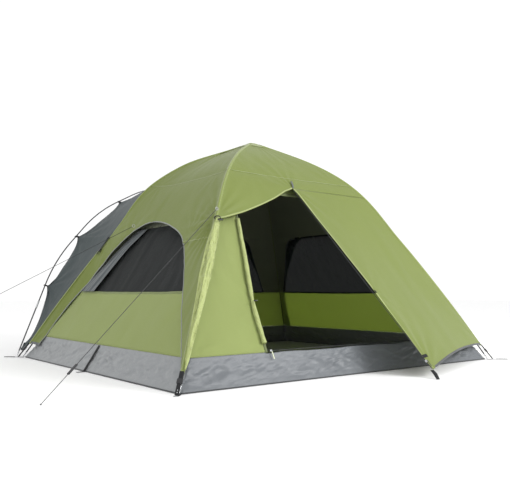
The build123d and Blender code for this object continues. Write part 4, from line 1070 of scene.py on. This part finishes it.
# the doubled strap from the flap's tip to its peg
tip_top = TIP + [0.004, 0.006, 0.004]
tip_end = np.array([0.104, -1.464, 0.0030])
mid = (tip_top + tip_end) / 2
tip_out = unit([-0.4, -0.6, 0.8])
run = [tip_top + [0, 0.004, -0.009], mid + [0.001, 0, 0], tip_end]
strap("strap_flap_tip_upper", run, tip_out, 0.017, count=40)
run = [tip_top + [0.002, 0.006, -0.012], mid + [0.001, 0.003, -0.004], tip_end + [0, 0.001, -0.0012]]
strap("strap_flap_tip_lower", run, tip_out, 0.017, thick=0.0014, count=40)

# the strap down the rear left ridge, with the loop that it hangs from
ridge_hi = ridge("rear_left", 0.845) - [0, 0.004, 0]
down = unit(ridge("rear_left", 0.712) - [0, 0.034, 0] - ridge_hi)
away = np.array([-1, 0, 0.7])
away = unit(away - down * (away @ down))
top = ridge_hi + away * 0.009
run = [top, top + down * 0.075, top + down * 0.150]
strap("strap_ridge", run, away, 0.015, thick=0.0014, count=30, slot="webbing_grey",
      stands_for=["flysheet_tabs"])
run = [top - down * 0.002, top + down * 0.012 + away * 0.004, top + down * 0.028]
strap("strap_ridge_loop", run, away, 0.017, thick=0.0020, count=16, slot="webbing_grey")
peak_n = unit([0.0, -0.62, 0.78])
run = [PEAK + peak_n * 0.006 - [0, 0, 0.004], PEAK + [0.008, 0.016, 0.024] + peak_n * 0.007,
       PEAK + [0.013, 0.033, 0.047] + peak_n * 0.0055]
strap("strap_peak", run, peak_n, 0.011, thick=0.0030, count=20, look="webbing_grey")

# the tie that gathers the left-hand door against the ridge, and the strap that it hangs from
tie_at = ridge("front_left", 0.866) + [0.004, -0.012, 0.002]
tie_x, tie_y = unit([0.72, -0.55, 0.0]), unit([-0.3, -0.35, 0.6])
turn = np.linspace(0, math.tau, 41)[:, None]
tie = tie_at + 0.017 * np.cos(turn) * tie_x + 0.012 * np.sin(turn) * tie_y
profile = [(0.0022 * math.cos(a), 0.0050 * math.sin(a)) for a in ring(8)]
tie_down = np.broadcast_to(unit(np.cross(tie_x, tie_y)), tie.shape)
swept("door_tie_band", tie, unit(tie - tie_at), tie_down, profile, "webbing_black", caps=False)
lead = unit([-SX, -SY, 0.85])
hung_at = ridge("front_left", 0.925)
run = [hung_at + lead * 0.004, hung_at + lead * 0.008 - [0, 0, 0.014], hung_at + lead * 0.006 - [0, 0, 0.034]]
strap("strap_gather", run, lead, 0.012, thick=0.0028, count=20, look="webbing_grey")

# tabs on the free edge of the flap
edge_pts, edge_into, edge_n = edge_frames(flap, "first_col")
edge_n = edge_n * -np.sign(edge_n[:, 1:2])
for label, share in (("middle", 0.616), ("lower", 0.945)):
    i = int(share * (len(edge_pts) - 1))
    p = edge_pts[i] + edge_n[i] * 0.0042
    run = [p + edge_into[i] * d for d in (-0.006, 0.010, 0.028)]
    strap(f"flap_tab_{label}", run, edge_n[i], 0.019, thick=0.0030, count=14)


# ---------------------------------------------------------------- zips: coils with their teeth
def zip_coil(name, a, b, node, out):
    """A round coil from a to b, whose radius swells and shrinks once for each tooth."""
    pitch, radius = 0.0024, 0.0015
    count = int(np.linalg.norm(b - a) / pitch * 4)
    pts = a + (b - a) * np.linspace(0, 1, count)[:, None]
    side, up = frames_along(pts, np.array(out, float))
    teeth = 1 + 0.22 * np.sin(np.arange(count) * math.pi / 2)
    profile = teeth[:, None, None] * radius * np.stack([1.25 * np.cos(ring(8)), np.sin(ring(8))], -1)
    swept(name, pts, side, up, profile, "zip_coil", stands_for=[node])


zip_coil("fly_zip_teeth", *tube_ends("fly_zip_coil"), "fly_zip_coil", [0.11, -0.741, 0.662])
low, high = vertices_of("door_zip_coil").min(0), vertices_of("door_zip_coil").max(0)
_, y, z = (low + high) / 2
zip_coil("door_zip_teeth", np.array([low[0], y, z]), np.array([high[0], y, z]), "door_zip_coil", [0, -1, 0])

# ---------------------------------------------------------------- softened edges on the CAD's hard fittings
for node in [f"corner_buckle_{corner}" for corner in CORNERS] + [
    "ridge_buckle", "tensioner_front", "tensioner_side", "fly_zip_slider", "door_zip_slider", "crown_hub",
]:
    soft = frame["nodes"][node].modifiers.new("edges", "BEVEL")
    soft.width = 0.0004
    soft.segments = 2
    soft.limit_method = "ANGLE"

# ---------------------------------------------------------------- floor, light and camera
FLOOR_HALF, FLOOR_Z = 30.0, -0.0006
ground = bpy.data.meshes.new("studio_floor")
outline = [(qx * FLOOR_HALF, qy * FLOOR_HALF, FLOOR_Z) for qx, qy in ((-1, -1), (1, -1), (1, 1), (-1, 1))]
ground.from_pydata(outline, [], [(0, 1, 2, 3)])
ground.materials.append(solid("studio_white", (246, 246, 246), rough=0.95))
floor_obj = bpy.data.objects.new("studio_floor", ground)
bpy.context.scene.collection.objects.link(floor_obj)

world = bpy.data.worlds.new("studio")
world.use_nodes = True
bpy.context.scene.world = world
world.node_tree.nodes["Background"].inputs["Color"].default_value = (1, 1, 1, 1)
world.node_tree.nodes["Background"].inputs["Strength"].default_value = 1.06


def area_light(name, where, target, size, power):
    light = bpy.data.lights.new(name, "AREA")
    light.shape = "DISK"
    light.size = size
    light.energy = power
    obj = bpy.data.objects.new(name, light)
    bpy.context.scene.collection.objects.link(obj)
    obj.location = where
    obj.rotation_euler = (Vector(target) - Vector(where)).to_track_quat("-Z", "Y").to_euler()


area_light("key", (2.6, -6.0, 3.6), (0, 0, 0.6), 3.0, 330)
area_light("fill", (-6.0, -2.5, 2.0), (0, 0, 0.5), 4.5, 25)

tilt = math.radians(4.6)
camera = bpy.data.cameras.new("camera")
camera.sensor_width = 36
camera.lens = 44.7
cam = bpy.data.objects.new("camera", camera)
bpy.context.scene.collection.objects.link(cam)
cam.location = (-2.736, -3.524, 0.459)
forward = np.array([0.616, 0.785, 0.0]) * math.cos(tilt) + UP * math.sin(tilt)
cam.rotation_euler = Vector(forward).to_track_quat("-Z", "Y").to_euler()
bpy.context.scene.camera = cam
bpy.context.scene.view_settings.view_transform = "Standard"
